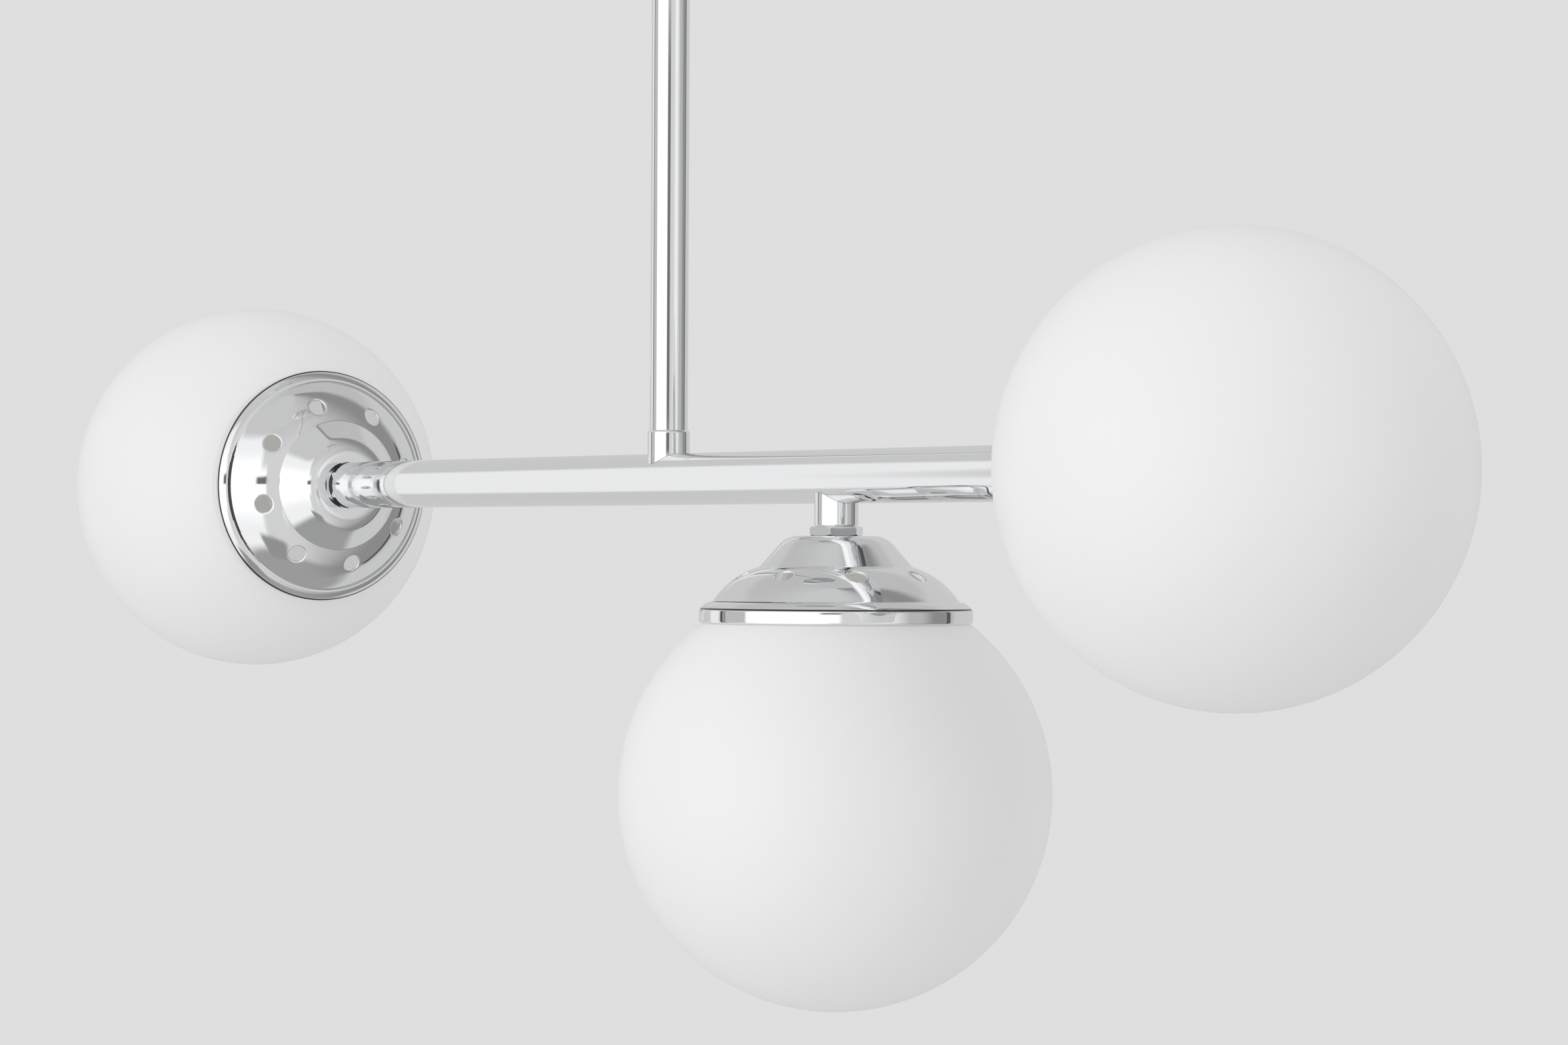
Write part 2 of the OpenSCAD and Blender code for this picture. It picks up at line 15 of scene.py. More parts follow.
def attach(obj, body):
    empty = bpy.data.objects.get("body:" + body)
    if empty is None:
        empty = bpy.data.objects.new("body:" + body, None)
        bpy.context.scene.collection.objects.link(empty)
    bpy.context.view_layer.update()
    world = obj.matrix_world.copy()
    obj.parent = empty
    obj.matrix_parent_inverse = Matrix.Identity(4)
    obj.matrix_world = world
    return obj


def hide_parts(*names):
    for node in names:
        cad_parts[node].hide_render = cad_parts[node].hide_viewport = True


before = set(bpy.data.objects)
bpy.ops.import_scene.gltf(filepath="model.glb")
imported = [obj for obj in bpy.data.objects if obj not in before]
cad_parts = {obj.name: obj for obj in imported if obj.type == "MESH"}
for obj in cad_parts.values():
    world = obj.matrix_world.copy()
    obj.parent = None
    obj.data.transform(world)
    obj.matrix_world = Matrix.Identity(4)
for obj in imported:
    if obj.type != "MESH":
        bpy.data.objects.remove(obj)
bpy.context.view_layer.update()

# %% [markdown]
# ## Sizes
# A lamp maker's drawing is in millimetres, so the sizes here are too, and MM turns them into metres.
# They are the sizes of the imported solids: a piece that stands for a solid has to fill the same place.
# Each light has a frame of its own. Its arm ends at height 0, and cap, bulb and globe follow below.

# %% Sizes and the three lights
MM = 0.001
BAR_RADIUS, BAR_WALL, BAR_HALF, DROP = 9.5, 1.2, 263.409, 400
STEM_RADIUS, STEM_TOP, STEM_FOOT = 7, -15, -386.8
TAPPED_RADIUS = 4.9
COUPLING_RADIUS = 7.75
BRANCH_X, BRANCH_LOW = 119, 17.5
CAP_TOP, CAP_SHEET, VENTS = -3.3, 0.6, 8
GLOBE_RADIUS, GLASS_WALL, GLOBE_Z, MOUTH_TOP = 75.97, 2.5, -93.5907, -29.6

LIGHTS = {
    "left": Matrix.Translation((-BAR_HALF * MM, 0, -DROP * MM)) @ Matrix.Rotation(math.pi / 2, 4, "Y"),
    "right": Matrix.Translation((BAR_HALF * MM, 0, -DROP * MM)) @ Matrix.Rotation(-math.pi / 2, 4, "Y"),
    "branch": Matrix.Translation((BRANCH_X * MM, 0, -(DROP + BRANCH_LOW) * MM)),
}
CAP_TURN = {"left": 14, "right": 14, "branch": 26}
for light, place in LIGHTS.items():
    print(light, [round(x, 4) for x in place @ Vector((0, 0, GLOBE_Z * MM))])

# %% [markdown]
# ## Camera
# A lamp is photographed from far off with a long lens, so that its globes keep their true sizes.
# The place and the lens come from the outlines of the three globes, whose real centres are known.
# With those fixed first, every later render can be laid beside the photograph.

# %% Camera
CAMERA_PLACE = (1.6869, -0.9577, -0.4254)
CAMERA_PAN, CAMERA_TILT, CAMERA_ROLL = 59.154, 90.286, 0.275
CAMERA_LENS, SENSOR_WIDTH = 120.58, 36

bpy.ops.object.select_all(action="DESELECT")
bpy.ops.object.camera_add()
camera = bpy.context.object
camera.name = "camera"
camera.matrix_world = (
    Matrix.Translation(CAMERA_PLACE)
    @ Matrix.Rotation(math.radians(CAMERA_PAN), 4, "Z")
    @ Matrix.Rotation(math.radians(CAMERA_TILT), 4, "X")
    @ Matrix.Rotation(math.radians(CAMERA_ROLL), 4, "Z")
)
camera.data.sensor_width = SENSOR_WIDTH
camera.data.lens = CAMERA_LENS
camera.data.clip_start, camera.data.clip_end = 0.05, 60
bpy.context.scene.camera = camera
print("camera", [round(x, 3) for x in camera.location], "lens", round(camera.data.lens, 2))

# %% [markdown]
# ## Shader maths
# A finish is a small graph of nodes. Wiring it by hand in code is hard to read, so one class wraps a
# node's output and lets plain arithmetic add the Math nodes. Everything else comes from one method,
# which sets a node's options first and then the values or links of its sockets.

# %% Nodes as expressions
class Signal:
    """An output of a node. Arithmetic on it adds Math nodes."""

    def __init__(self, graph, socket):
        self.graph, self.socket = graph, socket

    def maths(self, operation, *values):
        return self.graph.node("Math", dict(enumerate(values)), operation=operation)

    def __add__(self, other):
        return self.maths("ADD", self, other)

    def __sub__(self, other):
        return self.maths("SUBTRACT", self, other)

    def __mul__(self, other):
        return self.maths("MULTIPLY", self, other)


class Graph:
    """The node tree of a material or of the world."""

    def __init__(self, owner):
        owner.use_nodes = True
        self.tree = owner.node_tree
        self.tree.nodes.clear()

    def node(self, kind, sockets=(), output=0, **settings):
        made = self.tree.nodes.new("ShaderNode" + kind)
        for name, value in settings.items():
            setattr(made, name, value)
        for name, value in dict(sockets).items():
            if isinstance(value, Signal):
                self.tree.links.new(value.socket, made.inputs[name])
            else:
                made.inputs[name].default_value = value
        return Signal(self, made.outputs[output]) if made.outputs else None


def grey(level):
    return (level, level, level, 1)


print("graph helpers ready")

# %% [markdown]
# ## Studio
# Chrome has no colour of its own: it shows the room. The walls here are pale. A big soft white panel stands on
# the left of the camera and lights the wall round it, a smaller lamp glows on the right, and past that the room
# falls off into a dark corner. Small dark things, such as the stand of the camera, draw the thin dark lines in
# the chrome. Only mirror rays see this room. The camera sees a plain pale backdrop, and matt surfaces are lit
# by an even pale sky.

# %% What stands in the room
CAMERA_BEARING = math.radians(-31.1)
BACKDROP, SKY_LEVEL, WALL_LEVEL = 0.735, 0.95, 0.62
# A thing has a brightness, the bearings between which it fades in and out again, and the same for its height.
# Bearings are in degrees from the camera, left negative. A height is the sine of the elevation. What comes
# later covers what comes before.
ALL_ROUND = (-190, -185, 185, 190)
EYE_LEVEL = (-0.30, -0.12, 0.12, 0.30)
ROOM = {
    "ceiling": (0.54, ALL_ROUND, (0.58, 0.72, 2, 3)),
    "ceiling over the panel": (0.62, (-130, -50, 10, 50), (0.58, 0.72, 2, 3)),
    "ground": (0.36, ALL_ROUND, (-3, -2, -0.88, -0.76)),
    "wall on the right": (0.70, (-24, -14, 26, 50), (-0.80, -0.72, 0.30, 0.58)),
    "lamp on the right": (0.97, (22, 40, 44, 88), EYE_LEVEL),
    "dark corner": (0.28, (36, 88, 102, 122), (-0.99, -0.80, 2, 3)),
    "edge of the corner": (0.50, (60, 68, 74, 92), EYE_LEVEL),
    "window behind": (0.90, (-134, -128.5, -118.5, -114.5), (-0.46, -0.38, 0.38, 0.46)),
    "wall lit by the panel": (0.97, (-112, -66, -14, -3), (-0.86, -0.74, 0.58, 0.72)),
    "wall beside the panel": (0.54, (-106.5, -104.5, -84, -80), EYE_LEVEL),
    "gap in the wall": (0.31, (-114, -112.5, -107.5, -105), EYE_LEVEL),
    "long panel": (1.15, (-84, -79, 1, 6), EYE_LEVEL),
    "soft panel": (1.15, (-74, -64, -12, -2), (-0.60, -0.25, 0.25, 0.52)),
    "dark stool": (0.31, (-27, -20, 12, 24), (-0.93, -0.87, -0.70, -0.60)),
    "camera stand": (0.17, (-16.5, -10, 1.5, 7), (0.008, 0.026, 0.085, 0.135)),
    "panel frame": (0.04, (-114.4, -113.6, -111.9, -111.0), (-0.74, -0.64, 0.28, 0.38)),
    "corner post": (0.10, (105.5, 107, 111, 112.5), (-0.74, -0.64, 0.28, 0.38)),
}
print(len(ROOM), "things in the room")

# %% World: backdrop, mirror picture and even light
world = bpy.data.worlds.new("studio")
bpy.context.scene.world = world
sky = Graph(world)
direction = sky.node("TexCoord", output="Generated")
east = sky.node("SeparateXYZ", {"Vector": direction}, output="X")
north = sky.node("SeparateXYZ", {"Vector": direction}, output="Y")
height = sky.node("SeparateXYZ", {"Vector": direction}, output="Z")
turn = north.maths("ARCTAN2", north, east) - CAMERA_BEARING
bearing = turn.maths("DEGREES", turn.maths("WRAP", turn, math.pi, -math.pi))


def fade(value, start, end):
    """Climbs smoothly from 0 to 1 as the value goes from start to end."""
    return value.graph.node("MapRange", {"Value": value, "From Min": start, "From Max": end},
                            interpolation_type="SMOOTHSTEP")


def between(value, limits):
    """Fades in from the first limit to the second, and out from the third to the fourth."""
    return fade(value, *limits[:2]) * fade(value, *limits[:1:-1])


def over(below, above, share):
    """Paints a colour over another one. The share is how far it covers it."""
    return sky.node("Mix", {"Factor": share, "A": below, "B": above}, output=2, data_type="RGBA")


room = grey(WALL_LEVEL)
for shade, bearings, heights in ROOM.values():
    room = over(room, grey(shade), between(bearing, bearings) * between(height, heights))
view_ray = sky.node("LightPath", output="Is Camera Ray")
mirror_ray = sky.node("LightPath", output="Is Glossy Ray")
through_ray = sky.node("LightPath", output="Is Transmission Ray")
seen = over(grey(SKY_LEVEL), grey(BACKDROP), view_ray + through_ray)
light_out = sky.node("Background", {"Color": over(seen, room, mirror_ray), "Strength": 1.0})
sky.node("OutputWorld", {"Surface": light_out})
bpy.context.scene.view_settings.view_transform = "Standard"
print("world: backdrop", BACKDROP, "sky", SKY_LEVEL)

# %% [markdown]
# ## Lamp and floor
# One big soft square lamp gives the globes their gentle rounding. It stands where the white panel in the
# chrome is, left of the camera and a little above the bar. Mirrors don't see it, because the world already
# paints that panel.

# %% Lamp
LAMP_BEARING, LAMP_CLIMB = CAMERA_BEARING + math.radians(-45), math.radians(3)
LAMP_DISTANCE, LAMP_SIZE, LAMP_WATTS = 3.6, 2.2, 29
LIT_POINT = Vector((0.06, 0, -0.42))

towards = Vector((math.cos(LAMP_BEARING) * math.cos(LAMP_CLIMB), math.sin(LAMP_BEARING) * math.cos(LAMP_CLIMB),
                  math.sin(LAMP_CLIMB)))
bpy.ops.object.light_add(type="AREA", location=LIT_POINT + LAMP_DISTANCE * towards)
lamp = bpy.context.object
lamp.name = "key_panel"
lamp.rotation_euler = towards.to_track_quat("Z", "Y").to_euler()
lamp.data.shape, lamp.data.size, lamp.data.energy = "SQUARE", LAMP_SIZE, LAMP_WATTS
lamp.visible_glossy = lamp.visible_camera = False
print("lamp at", [round(x, 2) for x in lamp.location])

# %% [markdown]
# The floor lies well below the light, as in a room. Near the middle it is matt and keeps the shadow, and
# farther out it fades into the backdrop. Mirrors look through it, because the world paints the room's ground,
# and its underside is clear, so that the light can be looked at from below.

# %% Floor
FLOOR_Z, FLOOR_RADIUS, FADE_START, FADE_END = -2.0, 12, 1.2, 3.2
GRAIN_SIZE, GRAIN_DEPTH, FLOOR_SHADE = 90.0, 0.02, 0.84

bpy.ops.object.select_all(action="DESELECT")
bpy.ops.mesh.primitive_circle_add(vertices=96, radius=FLOOR_RADIUS, fill_type="NGON", location=(0, 0, FLOOR_Z))
floor = bpy.context.object
floor.name = "floor"
bpy.ops.object.transform_apply(location=True, rotation=True, scale=True)

floor_paint = bpy.data.materials.new("pale_floor")
paper = Graph(floor_paint)
spot = paper.node("TexCoord", output="Object")
from_middle = paper.node("VectorMath", {0: spot, 1: (0, 0, FLOOR_Z)}, output="Value", operation="DISTANCE")
grain = paper.node("TexNoise", {"Vector": spot, "Scale": GRAIN_SIZE, "Detail": 4.0}) * GRAIN_DEPTH + FLOOR_SHADE
tint = paper.node("CombineColor", {"Red": grain, "Green": grain, "Blue": grain})
matt = paper.node("BsdfDiffuse", {"Color": tint})
glow = paper.node("Emission", {"Color": grey(BACKDROP), "Strength": 1.0})
seen_by_eye = paper.node("MixShader", {0: fade(from_middle, FADE_START, FADE_END), 1: matt, 2: glow})
nothing = paper.node("BsdfTransparent", {"Color": grey(1)})
is_mirror = paper.node("LightPath", output="Is Glossy Ray")
underside = paper.node("NewGeometry", output="Backfacing")
clear = is_mirror.maths("MAXIMUM", is_mirror, underside)
whole = paper.node("MixShader", {0: clear, 1: seen_by_eye, 2: nothing})
paper.node("OutputMaterial", {"Surface": whole})
floor.data.materials.append(floor_paint)
print("floor at", FLOOR_Z)

# %% [markdown]
# ## Modelling by hand, in code
# A new piece starts from a primitive and is shaped in edit mode, as it would be with the mouse. Operators
# act on whatever is selected, so each helper first clears the selection and then picks what it needs.

# %% Selecting and editing
def pick(*pieces):
    """Selects these objects and nothing else, the last one active."""
    bpy.ops.object.select_all(action="DESELECT")
    for piece in pieces:
        piece.select_set(True)
    bpy.context.view_layer.objects.active = pieces[-1]


def metres(values):
    return tuple(value * MM for value in values)


def settle():
    """Puts the place of the selected piece into its mesh."""
    bpy.ops.object.transform_apply(location=True, rotation=True, scale=True)


def start(name, add, **settings):
    """Adds a primitive by its operator and puts its place into its mesh."""
    bpy.ops.object.select_all(action="DESELECT")
    add(**settings)
    piece = bpy.context.object
    piece.name = piece.data.name = name
    settle()
    return piece


def cylinder(name, radius, length, middle, sides=48, **settings):
    """A cylinder round a middle point, in millimetres, with as many sides as said."""
    return start(name, bpy.ops.mesh.primitive_cylinder_add, vertices=sides, radius=radius * MM,
                 depth=length * MM, location=metres(middle), **settings)


def edit(piece, kind="VERT"):
    """Opens a piece in edit mode with nothing selected."""
    pick(piece)
    bpy.ops.object.mode_set(mode="EDIT")
    bpy.ops.mesh.select_mode(type=kind)
    bpy.ops.mesh.select_all(action="DESELECT")


def select(piece, test, kind="verts"):
    """Selects each vertex, edge or face of the open piece that passes the test, and says how many."""
    work = bmesh.from_edit_mesh(piece.data)
    count = 0
    for part in getattr(work, kind):
        chosen = bool(test(part))
        part.select_set(chosen)
        count += chosen
    work.select_flush_mode()
    bmesh.update_edit_mesh(piece.data)
    return count


def select_all():
    bpy.ops.mesh.select_all(action="SELECT")


def done():
    bpy.ops.object.mode_set(mode="OBJECT")


def finish_faces():
    """Makes all faces of the open piece point the same way, outwards, and closes it."""
    select_all()
    bpy.ops.mesh.normals_make_consistent(inside=False)
    done()


def extrude_through(points):
    """Extrudes what is selected from point to point, in millimetres."""
    for (x, y, z), (next_x, next_y, next_z) in zip(points, points[1:]):
        step = metres((next_x - x, next_y - y, next_z - z))
        bpy.ops.mesh.extrude_region_move(TRANSFORM_OT_translate={"value": step})


def line(name, points):
    """Draws a line of edges through the points, and leaves it open in edit mode."""
    piece = start(name, bpy.ops.mesh.primitive_plane_add, size=MM)
    edit(piece)
    select_all()
    bpy.ops.mesh.merge(type="CENTER")
    bpy.ops.transform.translate(value=metres(points[0]))
    extrude_through(points)
    return piece


def in_section(outline):
    """The points (radius, height) of an outline as points of the plane y = 0."""
    return [(radius, 0, height) for radius, height in outline]


def shape(piece, kind, **settings):
    """Adds a modifier, sets it and applies it."""
    modifier = piece.modifiers.new(kind.lower(), kind)
    for name, value in settings.items():
        setattr(modifier, name, value)
    pick(piece)
    bpy.ops.object.modifier_apply(modifier=modifier.name)
    return piece


def cut_with(piece, tool, operation="DIFFERENCE"):
    """Cuts a piece with a tool body, which is then thrown away."""
    shape(piece, "BOOLEAN", object=tool, operation=operation, solver="EXACT")
    bpy.data.objects.remove(tool)
    return piece


def soften(piece, width, segments, angle):
    """Rounds the edges that are sharper than the angle. The width is in millimetres."""
    return shape(piece, "BEVEL", width=width * MM, segments=segments, limit_method="ANGLE",
                 angle_limit=math.radians(angle), miter_outer="MITER_ARC")


print("editing helpers ready")

# %% [markdown]
# ## Turned parts
# Caps, couplings, bulbs and the canopy are round: on the real lamp they are spun or turned on a lathe.
# The same is done here. One vertex is extruded from point to point along half of the outline, and the
# line is spun round the axis. Spinning can turn a shape inside out, so its normals are made consistent.

# %% Lathe
TOUCHING = 0.002 * MM  # points closer than this are one


def turned(name, outline, steps=96, sweep=360):
    """Spins an outline of (radius, height) points, in millimetres, about the Z axis."""
    piece = line(name, in_section(outline))
    select_all()
    bpy.ops.mesh.spin(steps=steps, angle=math.radians(sweep), center=(0, 0, 0), axis=(0, 0, 1))
    select_all()
    bpy.ops.mesh.remove_doubles(threshold=TOUCHING)
    finish_faces()
    return piece


def arc(start_point, radius, first, last, steps):
    """Points of a round shoulder whose slope goes from first to last degrees below level."""
    cx = start_point[0] - radius * math.sin(math.radians(first))
    cz = start_point[1] - radius * math.cos(math.radians(first))
    return [(cx + radius * math.sin(a), cz + radius * math.cos(a))
            for a in (math.radians(first + (last - first) * i / steps) for i in range(steps + 1))]


def copy_at(model, name, place):
    """A copy of a piece, with its own mesh, at a place that a matrix gives."""
    pick(model)
    bpy.ops.object.duplicate()
    copy = bpy.context.object
    copy.name = copy.data.name = name
    copy.matrix_world = place
    settle()
    return copy


def at_light(model, light, part, turn=0):
    """A copy of a piece that was modelled in a light's frame."""
    return copy_at(model, f"{light}_{part}", LIGHTS[light] @ Matrix.Rotation(math.radians(turn), 4, "Z"))


def hand_over(piece, body, slot, finish, *nodes, angle=32):
    """The last step of a piece: smooth faces, its finish, its body and the solids it stands for."""
    pick(piece)
    bpy.ops.object.shade_smooth_by_angle(angle=math.radians(angle))
    shape(piece, "WEIGHTED_NORMAL", keep_sharp=True)
    piece.data.materials.clear()
    piece.data.materials.append(finish)
    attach(piece, body)
    if nodes:
        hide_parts(*nodes)
    print(f"{piece.name}: {len(piece.data.polygons)} faces on {body}")


print("lathe ready")

# %% [markdown]
# ## Finishes
# Each finish is one Principled shader with a little life in it: chrome has faint haze and fingerprints in
# its roughness, glass a soft satin skin, plated steel a fine cloudy grain, porcelain a thin glaze. The lights
# are off in the picture, but daylight comes through the opal glass, so what it encloses gets a faint painted
# glow.

# %% Finish recipe
CLOUD_SHARE, SPECK_SHARE, SPECK_FINENESS = 0.7, 0.3, 7


def finish(name, base, roughness, metallic=0.0, vary=0.03, haze=0.05, size=120, bump=0.0, bump_size=600,
           **fixed):
    """A Principled material whose colour and roughness drift a little over the surface.

    vary is the share by which the colour darkens, haze the range of the roughness, size the number of clouds
    in a metre, and bump the height of the ripple in millimetres. What is fixed goes straight to its socket.
    """
    material = bpy.data.materials.new(name)
    graph = Graph(material)
    place = graph.node("TexCoord", output="Object")
    cloud = graph.node("TexNoise", {"Vector": place, "Scale": size, "Detail": 3.0, "Roughness": 0.55})
    speck = graph.node("TexNoise", {"Vector": place, "Scale": size * SPECK_FINENESS, "Detail": 2.0})
    dark = tuple(c * (1 - vary) for c in base)
    colour = graph.node("Mix", {"Factor": cloud, "A": (*dark, 1), "B": (*base, 1)}, output=2, data_type="RGBA")
    rough = (cloud * CLOUD_SHARE + speck * SPECK_SHARE - 0.5) * haze + roughness
    sockets = {"Base Color": colour, "Roughness": rough, "Metallic": metallic, **fixed}
    if bump:
        ripple = graph.node("TexNoise", {"Vector": place, "Scale": bump_size, "Detail": 2.0})
        sockets["Normal"] = graph.node("Bump", {"Height": ripple, "Strength": 1.0, "Distance": bump * MM})
    skin = graph.node("BsdfPrincipled", sockets)
    graph.node("OutputMaterial", {"Surface": skin})
    return material


def painted_glow_of(strength):
    """A painted glow, as emission sockets of a finish, that stands for the light that comes through the glass.
    """
    return {"Emission Color": (1.0, 1.0, 0.99, 1), "Emission Strength": strength}


print("finish recipe ready")

# %% The finishes
CHROME = finish("polished_chrome", (0.90, 0.905, 0.915), 0.035, 1.0, vary=0.02, haze=0.03, size=30)
# Dark chrome that paints shade and dark reflections into the creases of the caps and round the nut.
CHROME_PAINTED_SHADE = finish("chrome_with_painted_shade", (0.10, 0.10, 0.105), 0.22, 1.0, vary=0.3, haze=0.1, size=60)
# Painted glow: the insides of the caps glow by emission, for the daylight that comes through the glass.
CHROME_PAINTED_GLOW = finish("chrome_with_painted_glow", (0.88, 0.885, 0.895), 0.12, 1.0, vary=0.02, size=30,
                       **painted_glow_of(0.22))
OPAL = finish("satin_opal_glass", (0.80, 0.80, 0.796), 0.42, vary=0.008, size=14, bump=0.004, bump_size=220)
# The inner wall of a globe is painted lighter and given a painted glow, for the light that comes through the
# glass.
OPAL_PAINTED_GLOW = finish("opal_glass_with_painted_glow", (0.84, 0.84, 0.836), 0.36, vary=0.01, size=14, **painted_glow_of(0.16))
ZINC = finish("zinc_plated_steel", (0.60, 0.61, 0.63), 0.34, 1.0, vary=0.18, haze=0.16, size=260, bump=0.01)
GREEN = finish("green_dyed_steel", (0.10, 0.36, 0.16), 0.38, 0.8, vary=0.2, haze=0.1, size=400)
SPRING = finish("spring_steel", (0.66, 0.66, 0.67), 0.22, 1.0, vary=0.12, haze=0.1, size=300, bump=0.005)
PORCELAIN = finish("glazed_porcelain", (0.86, 0.85, 0.81), 0.16, haze=0.06, size=80, bump=0.02, bump_size=160,
                   **{"Coat Weight": 0.5, "Coat Roughness": 0.06})
BRASS = finish("brass", (0.80, 0.61, 0.27), 0.24, 1.0, vary=0.12, haze=0.1, size=300)
NICKEL = finish("nickel_plate", (0.74, 0.72, 0.68), 0.20, 1.0, vary=0.08, haze=0.1, size=260)
GLASS_BLACK = finish("black_insulator", (0.02, 0.02, 0.022), 0.18, vary=0.2, haze=0.08, size=200)
PLASTIC = finish("white_plastic", (0.82, 0.82, 0.80), 0.36, vary=0.02, size=90, bump=0.008, bump_size=1400)
DIFFUSER = finish("frosted_diffuser", (0.90, 0.90, 0.88), 0.45, vary=0.01, size=60)
BOARD = finish("aluminium_board", (0.80, 0.81, 0.82), 0.40, 0.3, vary=0.05, haze=0.1, size=200)
SHEATH = finish("lead_sheath", (0.045, 0.045, 0.05), 0.45, vary=0.15, haze=0.1, size=300, bump=0.02,
                bump_size=900)
print("finishes ready")

# %% [markdown]
# ## Bar and stem
# The bar is one drawn tube, tapped above for the stem and below for the branch. A tube with a wall is a
# cylinder without lids that is thickened inwards. Two round tools then cut the holes for the nipples.

# %% Bar
bar = cylinder("bar_tube", BAR_RADIUS, 2 * BAR_HALF, (0, 0, -DROP), 128, end_fill_type="NOTHING",
               rotation=(0, math.pi / 2, 0))
shape(bar, "SOLIDIFY", thickness=BAR_WALL * MM, offset=-1)
for x, side in ((0, 1), (BRANCH_X, -1)):
    cut_with(bar, cylinder("drill", TAPPED_RADIUS, BAR_RADIUS, (x, 0, side * BAR_RADIUS - DROP)))
soften(bar, 0.25, 2, 60)
hand_over(bar, "fixture", "polished_chrome", CHROME, "bar")

# %% Stem
stem = cylinder("stem_tube", STEM_RADIUS, STEM_TOP - STEM_FOOT, (0, 0, (STEM_TOP + STEM_FOOT) / 2), 96,
                end_fill_type="NOTHING")
shape(stem, "SOLIDIFY", thickness=(STEM_RADIUS - TAPPED_RADIUS) * MM, offset=-1)
soften(stem, 0.4, 3, 60)
hand_over(stem, "fixture", "polished_chrome", CHROME, "stem")

# %% [markdown]
# ## Saddle couplings
# A coupling is a turned sleeve whose foot is milled to the bar's curve, so that it sits on the bar with no gap
# that shows. The sleeve comes off the lathe here too. A tool a hair thicker than the bar mills the saddle, and
# a small bevel takes off the burr, which is the bright line that runs round the foot of the sleeve.

# %% Couplings
SADDLE_GAP, MILL_LENGTH = 0.05, 40


def coupling(name, outline, x):
    """A sleeve that is turned at the middle, moved along the bar to x and milled there."""
    sleeve = turned(name, outline)
    sleeve.location = (x * MM, 0, -DROP * MM)
    pick(sleeve)
    settle()
    mill = cylinder("mill", BAR_RADIUS + SADDLE_GAP, MILL_LENGTH, (x, 0, -DROP), 128,
                    rotation=(0, math.pi / 2, 0))
    cut_with(sleeve, mill)
    return soften(sleeve, 0.32, 3, 38)


R = COUPLING_RADIUS
stem_collar = coupling("stem_coupling", [
    (4.9, 1), (R, 1), (R, 17.1), (R - 0.12, 17.6), (R - 0.4, 17.95), (R - 0.65, 18.1), (7.05, 18.1),
    (7.05, 13.2), (4.9, 13.2), (4.9, 1)], 0)
hand_over(stem_collar, "fixture", "polished_chrome", CHROME, "stem_collar")
branch_collar = coupling("branch_coupling", [
    (4.9, -1), (R, -1), (R, -16.7), (R - 0.15, -17.2), (R - 0.5, -17.45), (4.9, -17.45), (4.9, -1)], BRANCH_X)
hand_over(branch_collar, "fixture", "polished_chrome", CHROME, "branch_collar")

# %% [markdown]
# ## Locknuts
# A thin hexagon nut holds each cap against its arm. A bought nut has its corners turned off, so a six-sided
# cylinder is crossed with a turned lens, and the shape that both share is the nut. It is modelled once.

# %% Locknut
NUT_ACROSS, NUT_HEIGHT = 16.8, 3.3
NUT_TURN = {"left": 0, "right": 9, "branch": 15}
# How far in from the corner and down from the face the turned-off corner passes, in millimetres.
TURNED_OFF = ((1.0, 0), (0.45, 0.22), (0.12, 0.55), (-0.1, 0.95))


def hexagon_nut(name, across, height, bore, top=0.0):
    """A hexagon nut with turned-off corners, standing below the height top."""
    corner = across / 2 / math.cos(math.pi / 6)
    middle = (0, 0, top - height / 2)
    nut = cylinder(name, corner, height, middle, 6, rotation=(0, 0, math.pi / 2))
    upper = [(corner - inset, -fall) for inset, fall in TURNED_OFF]
    lower = [(radius, -height - z) for radius, z in reversed(upper)]
    lens = turned("lens", [(0, 0), *upper, *lower, (0, -height)])
    lens.location.z = top * MM
    cut_with(nut, lens, "INTERSECT")
    cut_with(nut, cylinder("drill", bore, 4 * height, middle))
    return soften(nut, 0.22, 3, 25)


nut_model = hexagon_nut("nut_model", NUT_ACROSS, NUT_HEIGHT, TAPPED_RADIUS)
for light, turn in NUT_TURN.items():
    hand_over(at_light(nut_model, light, "lock_nut", turn), "fixture", "polished_chrome", CHROME, "locknuts")
bpy.data.objects.remove(nut_model)

# %% [markdown]
# ## Spun caps
# The cap is spun from one thin sheet: a shoulder, a stepped dome, a flared lip and an upright band. Its
# vents are punched, which rolls the sheet's edge inwards, and that roll is what glints round each hole.
# One eighth of the cap is modelled with one vent. The faces over the vent are taken out, the opening is made
# round, and its edge is extruded inwards in steps. Copies spun round the axis close the ring. Only then does
# the sheet get its thickness, and a subdivision smooths it all. Two narrow creases, at the foot of the dome
# and above the band, are pressed in as extra rows of the outline.

# %% One eighth of a cap
WAIST, LOWER_FOOT, LIP_FOOT, CAP_LOW = (26.80, -14.2), (43, -26.1), (48, -29.4), -33.8
SHOULDER_RADIUS, CAP_SLOPE, DOME_TURN, LIP_TURN = 9.5, 49, 42, 49
VENT_RING, VENT_RADIUS, VENT_ROLL = 33.5, 3.5, 0.7
NUT_SHADE = (8.2, 9.3)  # the narrow ring beside the nut, between these radii
COLUMNS = 12


def chord(p, q, turn):
    """Radius and first slope of the arc from p to q that turns through an angle."""
    fall = math.degrees(math.atan2(p[1] - q[1], q[0] - p[0]))
    return math.dist(p, q) / 2 / math.sin(math.radians(turn / 2)), fall - turn / 2


dome_radius, dome_slope = chord(WAIST, LOWER_FOOT, DOME_TURN)
lip_radius, lip_slope = chord(LOWER_FOOT, LIP_FOOT, LIP_TURN)
dome_centre = (WAIST[0] - dome_radius * math.sin(math.radians(dome_slope)),
               WAIST[1] - dome_radius * math.cos(math.radians(dome_slope)))
vent_slope = math.degrees(math.asin((VENT_RING - dome_centre[0]) / dome_radius))


